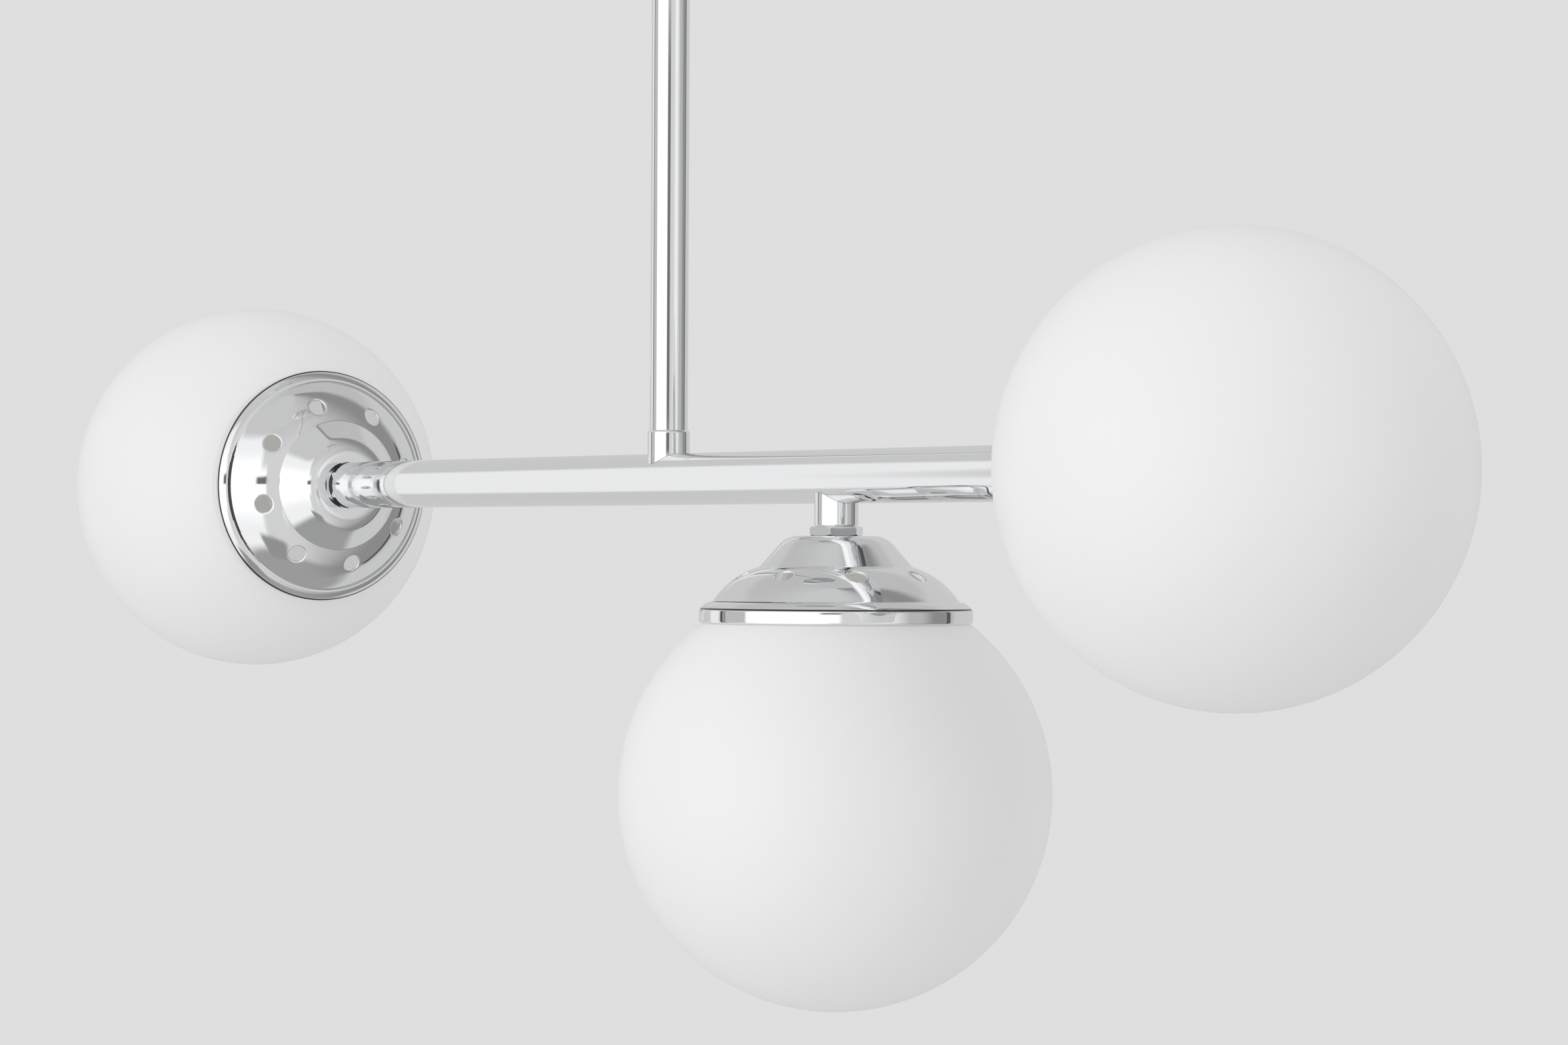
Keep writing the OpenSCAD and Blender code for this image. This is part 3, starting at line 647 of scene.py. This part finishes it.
def dome_point(travel):
    """The point of the lower dome this far from the waist, in millimetres along the sheet."""
    a = math.radians(dome_slope) + travel / dome_radius
    return (dome_centre[0] + dome_radius * math.sin(a), dome_centre[1] + dome_radius * math.cos(a))


vent_travel = math.radians(vent_slope - dome_slope) * dome_radius
row = 2.19  # the patch of the vent is four rows long and as wide
shoulder = arc((13, CAP_TOP), SHOULDER_RADIUS, 0, CAP_SLOPE, 8)
slope_step = (math.cos(math.radians(CAP_SLOPE)), -math.sin(math.radians(CAP_SLOPE)))
slope_length = math.dist(shoulder[-1], WAIST)
slope_rows = [(shoulder[-1][0] + d * slope_step[0], shoulder[-1][1] + d * slope_step[1])
              for d in (slope_length * 0.3, slope_length * 0.6, slope_length * 0.85, slope_length - 0.35)]
over_vent = [vent_travel + k * row for k in range(-2, 5)]
dome_rows = [dome_point(travel) for travel in (0.4, over_vent[0] / 2, *over_vent, 18.2, 19.6, 20.2)]
lip_rows = arc(LOWER_FOOT, lip_radius, lip_slope, lip_slope + LIP_TURN, 6)
crease_rows = [(47.30, -28.45), (47.42, -28.80), (47.50, -29.14), (47.84, -29.22), (47.97, -29.42)]
foot_rows = [(43.30, -26.34), (43.62, -26.56), (44.00, -26.58), (44.35, -26.50)]
lip_rows = [*foot_rows, *lip_rows[2:-2], *crease_rows]
top_rows = [(radius, CAP_TOP) for radius in (5.05, 6.5, *NUT_SHADE, 11.8)]
band_rows = [(48, height) for height in (-30, -31.4, -33, CAP_LOW)]
cap_outline = [*top_rows, *shoulder, *slope_rows, WAIST, *dome_rows, LOWER_FOOT, *lip_rows, *band_rows]
eighth = turned("cap_model", cap_outline, steps=COLUMNS, sweep=360 / VENTS)
middle = sum((v.co for v in eighth.data.vertices), Vector()) / len(eighth.data.vertices)
eighth.matrix_world = Matrix.Rotation(-math.atan2(middle.y, middle.x), 4, "Z")
pick(eighth)
settle()
print(f"dome radius {dome_radius:.2f}, vent slope {vent_slope:.1f}, {len(cap_outline)} rows")

# %% Punch the vent and roll its edge
vent_axis = Vector((math.sin(math.radians(vent_slope)), 0, math.cos(math.radians(vent_slope))))
vent_middle = Vector((VENT_RING, 0, dome_centre[1] + dome_radius * math.cos(math.radians(vent_slope)))) * MM
half_patch = 2 * row * MM


def near_vent(point, reach):
    """Whether a point of the dome lies within the square patch of the vent."""
    across = math.atan2(point.y, point.x) * VENT_RING * MM
    along = (point - vent_middle).dot(vent_axis.cross(Vector((0, 1, 0))))
    return abs(across) < reach and abs(along) < reach and abs((point - vent_middle).dot(vent_axis)) < 2 * MM


def onto_dome(point):
    """Slides a point along the vent's axis until it lies on the dome."""
    for _ in range(4):
        off = math.hypot(math.hypot(point.x, point.y) - dome_centre[0] * MM, point.z - dome_centre[1] * MM)
        point = point - (off - dome_radius * MM) * vent_axis
    return point


# The next radius of the vent's edge and how far the edge sinks on the way there, in millimetres.
VENT_EDGE = ((3.95, 0.10), (3.68, 0.24), (3.54, 0.32), (VENT_RADIUS, 0.42))
edit(eighth, "FACE")
removed = select(eighth, lambda f: near_vent(f.calc_center_median(), half_patch), "faces")
bpy.ops.mesh.delete(type="FACE")
bpy.ops.mesh.select_mode(type="VERT")
work = bmesh.from_edit_mesh(eighth.data)
rim = [v for v in work.verts if v.is_boundary and near_vent(v.co, half_patch * 1.1)]
for vert in rim:
    flat = vert.co - vent_middle
    flat -= flat.dot(vent_axis) * vent_axis
    vert.co = onto_dome(vent_middle + flat.normalized() * (VENT_RADIUS + VENT_ROLL) * MM)
for vert in work.verts:
    vert.select_set(vert in rim)
work.select_flush_mode()
bmesh.update_edit_mesh(eighth.data)
ring_radius = VENT_RADIUS + VENT_ROLL
for next_radius, sink in VENT_EDGE:
    bpy.ops.mesh.extrude_region_move(TRANSFORM_OT_translate={"value": -vent_axis * sink * MM})
    grow = next_radius / ring_radius
    bpy.ops.transform.resize(value=(grow,) * 3, center_override=vent_middle)
    ring_radius = next_radius
select_all()
bpy.ops.mesh.spin(steps=VENTS - 1, dupli=True, angle=math.tau * (VENTS - 1) / VENTS, center=(0, 0, 0),
                  axis=(0, 0, 1))
select_all()
bpy.ops.mesh.remove_doubles(threshold=0.01 * MM)
finish_faces()
top_faces = [f.normal.z for f in eighth.data.polygons if f.center.z > (CAP_TOP - 0.01) * MM]
print(f"{removed} faces punched out, {len(rim)} points round the vent, top faces look up: {min(top_faces) > 0}")

# %% Sheet thickness and smoothing
shape(eighth, "SOLIDIFY", thickness=CAP_SHEET * MM, offset=-1)
shape(eighth, "SUBSURF", levels=1, render_levels=1)
print(f"cap model: {len(eighth.data.polygons)} faces")

# %% [markdown]
# A polished cap isn't bright everywhere. Shadow and dark reflections in the creases and beside the nut are
# painted into the colour as painted shade, and the inside of the cap gets a painted glow for the light that
# comes through the glass. So the cap gets three finishes, and each face picks its own by its place. The
# painted shade at the foot of the dome is dark on one side only, and runs out at both ends.

# %% Three finishes of a cap
# The second finish is painted shade: shadow and dark reflections in the creases and beside the nut. The limits
# below say where it goes.
BRIGHT, SHADE_PAINTED, GLOW_PAINTED_INSIDE = range(3)  # the order in which the cap carries them
RIM_CREASE_RADIUS, RIM_CREASE_LOW, RIM_CREASE_HIGH = 47.3, -29.24, -28.5
FOOT_CREASE_RADIUS, FOOT_CREASE_WIDTH, FOOT_CREASE_LOW = 43.65, 0.6, -26.8
FOOT_CREASE_START, FOOT_CREASE_END = -115, -40  # degrees round the light's axis
RUNS_IN, RUNS_OUT = 12, 30


def gets_painted_shade(spot):
    """Whether a point of the cap, in millimetres in its light's frame, gets painted shade: in a crease or
    beside the nut.
    """
    reach, turn = math.hypot(spot.x, spot.y), math.degrees(math.atan2(spot.y, spot.x))
    run = min(1, (turn - FOOT_CREASE_START) / RUNS_IN, (FOOT_CREASE_END - turn) / RUNS_OUT)
    at_rim = reach > RIM_CREASE_RADIUS and RIM_CREASE_LOW < spot.z < RIM_CREASE_HIGH
    at_foot = abs(reach - FOOT_CREASE_RADIUS) < FOOT_CREASE_WIDTH * run and spot.z > FOOT_CREASE_LOW
    beside_nut = NUT_SHADE[0] < reach < NUT_SHADE[1] and spot.z > CAP_TOP - 0.1
    return at_rim or at_foot or beside_nut


for light, place in LIGHTS.items():
    cap = at_light(eighth, light, "spun_cap", CAP_TURN[light])
    hand_over(cap, "fixture", "polished_chrome", CHROME, f"{light}_cap", angle=60)
    cap.data.materials.append(CHROME_PAINTED_SHADE)
    cap.data.materials.append(CHROME_PAINTED_GLOW)
    # Faces that look into the cap get the painted glow, and faces in a crease or beside the nut get the painted
    # shade.
    below = place @ Vector((0, 0, 2 * CAP_LOW * MM))
    for face in cap.data.polygons:
        if face.normal.dot(face.center - below) < 0:
            face.material_index = GLOW_PAINTED_INSIDE
        else:
            face.material_index = SHADE_PAINTED if gets_painted_shade(place.inverted() @ face.center / MM) else BRIGHT
bpy.data.objects.remove(eighth)

# %% [markdown]
# ## Globes
# Each globe is a blown ball of opal glass with a cut and fire-polished mouth. A ball is cut open with a
# bisect, thickened inwards, and the two edges of the mouth are rounded as the flame does. The inner wall gets
# a finish of its own: lighter, and with a faint painted glow for the light that comes through the glass.

# %% Globes
globe = start("globe_model", bpy.ops.mesh.primitive_uv_sphere_add, segments=128, ring_count=80,
              radius=GLOBE_RADIUS * MM, location=(0, 0, GLOBE_Z * MM))
edit(globe)
select_all()
bpy.ops.mesh.bisect(plane_co=(0, 0, MOUTH_TOP * MM), plane_no=(0, 0, 1), clear_outer=True)
done()
shape(globe, "SOLIDIFY", thickness=GLASS_WALL * MM, offset=-1, use_even_offset=True)
soften(globe, 1.1, 4, 50)
for light, place in LIGHTS.items():
    glass = at_light(globe, light, "opal_globe")
    hand_over(glass, f"{light}_glass", "opal_glass", OPAL, f"{light}_globe")
    glass.data.materials.append(OPAL_PAINTED_GLOW)
    # Faces of the inner wall take the second finish, the painted glow.
    globe_middle, mid_wall = place @ Vector((0, 0, GLOBE_Z * MM)), (GLOBE_RADIUS - GLASS_WALL / 2) * MM
    for face in glass.data.polygons:
        face.material_index = int((face.center - globe_middle).length < mid_wall)
bpy.data.objects.remove(globe)

# %% [markdown]
# ## Globe springs
# Under each cap sits a steel disc with three sprung arms that grip the mouth of the globe. An arm is a strip
# of spring steel bent on a former. A single edge, as wide as the strip, is extruded from bend to bend, and the
# bends are then rounded with a bevel, because a real strip can't be folded sharp.

# %% Springs
ARM_WIDTH, ARM_SHEET, ARM_BEND, TIP_CORNER = 8, 0.7, 1.6, 1.8
ARM_TURNS = (60, 180, 300)
ARM_PATH = [(9, -4.3), (12.5, -4.3), (21.3, -13.4), (36.85, -24.1), (40.35, -28.1), (40.35, -35.1),
            (36.85, -40.1)]


def bent_strip(name, path, width, sheet, bend):
    """A strip of sheet, as wide as said along Y, bent along (x, z) points in millimetres."""
    strip = start(name, bpy.ops.mesh.primitive_plane_add, size=width * MM)
    edit(strip)
    select(strip, lambda v: v.co.x > 0)
    bpy.ops.mesh.delete(type="VERT")
    select_all()
    bpy.ops.transform.translate(value=((path[0][0] + width / 2) * MM, 0, path[0][1] * MM))
    bpy.ops.mesh.select_mode(type="EDGE")
    select_all()
    extrude_through(in_section(path))
    *bends, tip = [Vector(metres(point)) for point in in_section(path)[1:]]

    def at_bend(edge):
        middle = (edge.verts[0].co + edge.verts[1].co) / 2
        return any((middle - bend_middle).length < 0.05 * MM for bend_middle in bends)

    select(strip, at_bend, "edges")
    bpy.ops.mesh.bevel(offset=bend * MM, segments=4)
    bpy.ops.mesh.select_mode(type="VERT")
    bpy.ops.mesh.select_all(action="DESELECT")
    select(strip, lambda v: abs(v.co.x - tip.x) < 0.02 * MM and abs(v.co.z - tip.z) < 0.02 * MM)
    bpy.ops.mesh.bevel(offset=TIP_CORNER * MM, segments=4, affect="VERTICES")
    finish_faces()
    shape(strip, "SOLIDIFY", thickness=sheet * MM, offset=0)
    return soften(strip, 0.12, 2, 40)


spring = turned("spring_model", [(5.05, -3.9), (12, -3.9), (12, -4.7), (5.05, -4.7), (5.05, -3.9)], steps=72)
for degrees in ARM_TURNS:
    arm = bent_strip("arm", ARM_PATH, ARM_WIDTH, ARM_SHEET, ARM_BEND)
    arm.matrix_world = Matrix.Rotation(math.radians(degrees), 4, "Z")
    cut_with(spring, arm, "UNION")
for light in LIGHTS:
    hand_over(at_light(spring, light, "globe_spring"), "fixture", "spring_steel", SPRING, f"{light}_spring")
bpy.data.objects.remove(spring)

# %% [markdown]
# ## Nuts and threaded nipples
# Lamp parts are held together by short threaded tubes and thin nuts. The nuts are made by the recipe of the
# locknuts. A thread is one groove that winds round a rod: a small wave of points is turned by the Screw
# modifier, which lifts it by one pitch in each turn, and both ends are cut off square with a bisect.

# %% Nuts
THIN_NUT_ACROSS, THIN_NUT_HEIGHT = 14, 3
STRAP_NUT_TOPS, CLAMP_NUT_TOP = (-7, -12), -4.7
for top in STRAP_NUT_TOPS:
    nut = hexagon_nut(f"strap_nut_{-top}", THIN_NUT_ACROSS, THIN_NUT_HEIGHT, TAPPED_RADIUS, top)
    hand_over(nut, "fixture", "zinc_steel", ZINC, "top_nuts")
for light in LIGHTS:
    nut = hexagon_nut("clamp_nut", THIN_NUT_ACROSS, THIN_NUT_HEIGHT, TAPPED_RADIUS, CLAMP_NUT_TOP)
    hand_over(at_light(nut, light, "clamp_nut"), "fixture", "zinc_steel", ZINC, "clamp_nuts")
    bpy.data.objects.remove(nut)


# %% Threads
WAVE_STEPS = 8  # points along one groove of a thread


def threaded(name, crest, root, pitch, low, high, steps=40, fill=True):
    """A rod with a round-topped thread between two heights, in millimetres."""
    turns = math.ceil((high - low) / pitch) + 3
    middle, swing, foot = (crest + root) / 2, (crest - root) / 2, low - 1.5 * pitch
    wave = [(middle + swing * math.cos(math.tau * i / WAVE_STEPS), foot + pitch * i / WAVE_STEPS)
            for i in range(WAVE_STEPS + 1)]
    rod = line(name, in_section(wave))
    done()
    shape(rod, "SCREW", screw_offset=pitch * MM, iterations=turns, steps=steps, render_steps=steps,
          use_merge_vertices=True, merge_threshold=TOUCHING)
    edit(rod)
    select_all()
    bpy.ops.mesh.remove_doubles(threshold=TOUCHING)
    for z, normal in ((low, -1), (high, 1)):
        select_all()
        bpy.ops.mesh.bisect(plane_co=(0, 0, z * MM), plane_no=(0, 0, normal), clear_outer=True, use_fill=fill)
    finish_faces()
    return rod


def bored(piece, radius, low, high):
    """Drills a piece along the Z axis."""
    return cut_with(piece, cylinder("drill", radius, high - low, (0, 0, (low + high) / 2), 64))


nipple = bored(threaded("top_nipple_thread", 4.85, 4.35, 1.0, -27, -6.5), 3.5, -28, -5)
hand_over(nipple, "fixture", "zinc_steel", ZINC, "top_nipple")

# %% [markdown]
# ## Lampholders
# The lampholder is glazed porcelain, so all its edges are round. Its section is turned as one closed line that
# runs round the nipple's thread, the wiring chamber, the web and the bore. The brass screw shell in it is
# rolled from sheet, so the same thread shows on its inside and its outside.

# %% Porcelain, screw shell and contact
BASE_PITCH = 3.629
holder = turned("holder_model", [
    (4.9, -7.7), (12, -7.7), (12, -9.7), (19, -15.7), (19, -18.4), (18.5, -18.9), (18.5, -20.3), (19, -20.8),
    (19, -44.18), (18, -45.18), (13.63, -45.18), (13.63, -21.7), (11.5, -21.7), (11.5, -19.7), (2.95, -19.7),
    (2.95, -16.7), (8, -16.7), (8, -12.7), (4.9, -12.7), (4.9, -7.7)])
soften(holder, 0.45, 3, 25)
shell = threaded("shell_model", 13.36, 13.12, BASE_PITCH, -44.18, -21.7, steps=64, fill=False)
shape(shell, "SOLIDIFY", thickness=0.2 * MM, offset=1)
contact = turned("contact_model", [
    (0, -16.05), (2.5, -16.05), (2.9, -16.4), (2.9, -19.65), (4.7, -19.75), (5, -20), (5, -20.6),
    (4.4, -20.88), (0, -20.9)], steps=48)
for light in LIGHTS:
    hand_over(at_light(holder, light, "lampholder"), "fixture", "porcelain", PORCELAIN, f"{light}_holder",
              angle=50)
    hand_over(at_light(shell, light, "screw_shell"), "fixture", "brass", BRASS, f"{light}_shell", angle=60)
    hand_over(at_light(contact, light, "centre_contact"), "fixture", "brass", BRASS, f"{light}_contact")
for model in (holder, shell, contact):
    bpy.data.objects.remove(model)

# %% [markdown]
# ## Bulbs
# A bulb is built up as a factory does it: contact tip and black insulator, a screw base rolled from nickelled
# sheet, a flared plastic housing, the board with its light sources, and a frosted dome. The base's crests stay
# just inside the crests of the screw shell, so the bulb can be turned out without touching it.

# %% Foot and screw base
foot = turned("foot_model", [
    (0, -21.9), (4.45, -22.15), (9.3, -24.1), (9.5, -24.4), (9.5, -25.7), (0, -25.7)], steps=64)
tip = turned("tip_model", [
    (0, -21.2), (2.4, -21.22), (3.5, -21.45), (4.3, -21.95), (4.3, -22.3), (0, -22.3)], steps=48)
base = threaded("base_model", 12.98, 12.4, BASE_PITCH, -44.2, -26.2, steps=64)
envelope = turned("envelope", [
    (0, -25.78), (9.8, -25.78), (11.4, -26.1), (12.4, -26.9), (13, -28.2), (13, -45), (0, -45)])
cut_with(base, envelope, "INTERSECT")
skirt = turned("skirt", [
    (11.9, -43.9), (12.9, -43.9), (12.98, -44.2), (12.98, -45.7), (11.9, -45.7), (11.9, -43.9)])
crown = turned("crown", [(0, -25.8), (9.8, -25.8), (11.4, -26.1), (12.2, -26.7), (12.3, -27.4), (0, -27.4)])
cut_with(base, crown, "UNION")
bored(base, 11.95, -50, -27)
cut_with(base, skirt, "UNION")

# %% Housing and dome
NECK, BULB_RADIUS, DOME_Z, FLARE_TOP, FLARE_STEPS, HOUSING_WALL = 14, 30, -99.2, -49.78, 12, 1.8
flare = [(NECK + (BULB_RADIUS - NECK) * math.sin(math.pi / 2 * i / FLARE_STEPS),
          FLARE_TOP + (DOME_Z - FLARE_TOP) * i / FLARE_STEPS) for i in range(FLARE_STEPS)]
body = turned("body_model", [
    (0, -45.78), (13.4, -45.78), (14, -46.3), (14, -48.6), (13.6, -48.9), (13.6, -49.3), *flare, (29.95, -97.6),
    (29.6, -97.8), (29.6, -98.3), (30, -98.5), (30, -99.2), (28.2, -99.2), (28.2, -97.4),
    *((r - HOUSING_WALL, z) for r, z in reversed(flare)), (12.2, -47.58), (0, -47.58)])
dome = start("dome_model", bpy.ops.mesh.primitive_uv_sphere_add, segments=96, ring_count=48, radius=29.98 * MM,
             location=(0, 0, DOME_Z * MM))
edit(dome)
select_all()
bpy.ops.mesh.bisect(plane_co=(0, 0, (DOME_Z - 0.05) * MM), plane_no=(0, 0, 1), clear_outer=True)
done()
shape(dome, "SOLIDIFY", thickness=1.2 * MM, offset=-1, use_even_offset=True)
soften(dome, 0.3, 2, 50)
for light in LIGHTS:
    hand_over(at_light(foot, light, "bulb_insulator"), f"{light}_base_tip", "black_insulator", GLASS_BLACK,
              f"{light}_bulb_foot")
    hand_over(at_light(tip, light, "bulb_tip"), f"{light}_base_tip", "nickel", NICKEL)
    hand_over(at_light(base, light, "bulb_screw_base"), f"{light}_bulb", "nickel", NICKEL,
              f"{light}_bulb_base", angle=50)
    hand_over(at_light(body, light, "bulb_housing"), f"{light}_bulb", "white_plastic", PLASTIC,
              f"{light}_bulb_body")
    hand_over(at_light(dome, light, "bulb_diffuser_dome"), f"{light}_bulb", "bulb_diffuser", DIFFUSER,
              f"{light}_bulb_dome")
for model in (foot, tip, base, body, dome):
    bpy.data.objects.remove(model)

# %% [markdown]
# ## Ceiling fitting
# The canopy is spun like the caps, but from thicker sheet, with a rounded edge. Its collar slides on the stem
# and is held by a small screw from the side. The terminal block is a moulding: a box whose edges are rounded,
# with a mouth for each lead and a small screw over each clamp.

# %% Canopy and collar
CANOPY_RADIUS, CANOPY_LOW, CANOPY_EDGE, EDGE_STEPS = 62, -30, 12, 10
flat, wall_foot = CANOPY_RADIUS - CANOPY_EDGE, CANOPY_LOW + CANOPY_EDGE
quarter = [(flat + CANOPY_EDGE * math.sin(a), wall_foot - CANOPY_EDGE * math.cos(a))
           for a in (math.pi / 2 * i / EDGE_STEPS for i in range(1, EDGE_STEPS))]
canopy = turned("spun_canopy", [(7.4, CANOPY_LOW), (14, CANOPY_LOW), (flat, CANOPY_LOW), *quarter,
                                (CANOPY_RADIUS, wall_foot), (CANOPY_RADIUS, 0)], steps=160)
shape(canopy, "SOLIDIFY", thickness=1.0 * MM, offset=-1)
soften(canopy, 0.25, 3, 60)
hand_over(canopy, "canopy_unit", "polished_chrome", CHROME, "canopy", angle=40)
collar = turned("canopy_slip_collar", [
    (7.08, -30), (11, -30), (11, -41), (10.2, -42), (7.08, -42), (7.08, -30)])
cut_with(collar, cylinder("drill", 2.05, 12, (0, -12, -36), rotation=(math.pi / 2, 0, 0)))
soften(collar, 0.25, 3, 40)
hand_over(collar, "canopy_unit", "polished_chrome", CHROME, "canopy_collar")

# %% Terminal block
block = start("terminal_moulding", bpy.ops.mesh.primitive_cube_add, size=1, location=(20 * MM, 0, -18 * MM),
              scale=(20 * MM, 20 * MM, 12 * MM))
soften(block, 1.0, 4, 40)
CLAMPS, MOUTHS = ((15, 6), (25, 6), (20, -6.4)), ((16, 8), (24, 8), (20, -8))
# The middle of a hole, its radius, its depth and its quarter turns about X. The fixing screw's comes first.
HOLES = [((20, 0, -18), 2.1, 14, 0)]
HOLES += [((x, y, -18), 1.6, 9, 1) for x, y in MOUTHS]
HOLES += [((x, y, -24), 1.9, 2.4, 0) for x, y in CLAMPS]
for middle, radius, depth, quarters in HOLES:
    cut_with(block, cylinder("drill", radius, depth, middle, 40, rotation=(quarters * math.pi / 2, 0, 0)))
soften(block, 0.15, 2, 50)
hand_over(block, "fixture", "white_plastic", PLASTIC, "terminal_block")

# %% Clamp screws
clamp_screw = turned("clamp_screw_model", [
    (0, -23.0), (1.5, -23.0), (1.75, -22.8), (1.75, -21), (0, -21)], steps=32)
slot_tool = start("slot_tool", bpy.ops.mesh.primitive_cube_add, size=1, location=(0, 0, -23 * MM),
                  scale=(5 * MM, 0.45 * MM, 1.2 * MM))
cut_with(clamp_screw, slot_tool)
for number, (x, y) in enumerate(CLAMPS, 1):
    place = Matrix.Translation((x * MM, y * MM, 0)) @ Matrix.Rotation(0.7 * number, 4, "Z")
    hand_over(copy_at(clamp_screw, f"clamp_screw_{number}", place), "fixture", "brass", BRASS)
bpy.data.objects.remove(clamp_screw)

# %% [markdown]
# ## Inner leads
# Three two-core leads run from the terminal block over the strap, down the stem and along the bar. Each is a
# chain of points that is turned into a curve, which gets its thickness as a round bevel. The points are the
# route of the solids, with the same rounded corners.

# %% Leads
LEAD_RADIUS, BEND = 1.3, 3.5
LEAD_OVER, ENTRY_Y, ENTRY_Z = -3, 10.3, -18
LEAD_RUN, LEAD_END = -DROP - 0.445, 15.7  # its height in the bar, and how far it runs past the end of an arm


def from_block(x, y, entry_x, entry_y):
    """The first stretch of a lead: out of the block, up beside the strap and over the nipple's mouth."""
    return [(entry_x, math.copysign(ENTRY_Y, entry_y), ENTRY_Z), (entry_x, entry_y, ENTRY_Z),
            (x, entry_y, ENTRY_Z), (x, entry_y, LEAD_OVER), (x, y, LEAD_OVER)]


ROUTES = {
    "left": [*from_block(-2, 0, 16, 17), (-2, 0, LEAD_RUN), (-BAR_HALF - LEAD_END, 0, LEAD_RUN)],
    "right": [*from_block(1, 1.732, 24, 22), (1, 1.732, LEAD_RUN), (BAR_HALF + LEAD_END, 1.732, LEAD_RUN)],
    "branch": [*from_block(1, -1.732, 20, -17), (1, -1.732, LEAD_RUN), (BRANCH_X, -1.732, LEAD_RUN),
               (BRANCH_X, -1.732, -LEAD_END - BRANCH_LOW - DROP)],
}


def with_bends(points, radius, steps=5):
    """The route with each square corner turned into a quarter of a circle."""
    points = [Vector(p) for p in points]
    route = [points[0]]
    for before, corner, after in zip(points, points[1:], points[2:]):
        u, v = (before - corner).normalized(), (after - corner).normalized()
        route += [corner + radius * (u + v) - radius * (v * math.cos(a) + u * math.sin(a))
                  for a in (math.pi / 2 * i / steps for i in range(steps + 1))]
    return [*route, points[-1]]


for light, corners in ROUTES.items():
    lead = line(f"{light}_inner_lead", with_bends(corners, BEND))
    done()
    bpy.ops.object.convert(target="CURVE")
    lead.data.bevel_depth, lead.data.bevel_resolution = LEAD_RADIUS * MM, 3
    lead.data.use_fill_caps = True
    bpy.ops.object.convert(target="MESH")
    hand_over(lead, "fixture", "lead_sheath", SHEATH, f"{light}_lead", angle=60)

# %% [markdown]
# ## Solids that keep their own shape
# Bent strap, plugs, inner nipples and screws are right as they were packed, so they only get their finish.

# %% Finishes of the carried-over solids
KEPT = {ZINC: ["crossbar", "terminal_screw", "canopy_set_screw", "stem_nipple", "bar_nuts", "branch_nipple",
               "end_plugs", "end_nipples"],
        GREEN: ["ground_screw"], BOARD: [f"{light}_bulb_board" for light in LIGHTS]}
for paint, names in KEPT.items():
    for name in names:
        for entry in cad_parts[name].material_slots:
            entry.material = paint
        print(f"{name}: {paint.name}")
painted = sum(KEPT.values(), [])
bare = [name for name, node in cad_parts.items() if not node.hide_render and name not in painted]
print("solids without a finish:", bare)
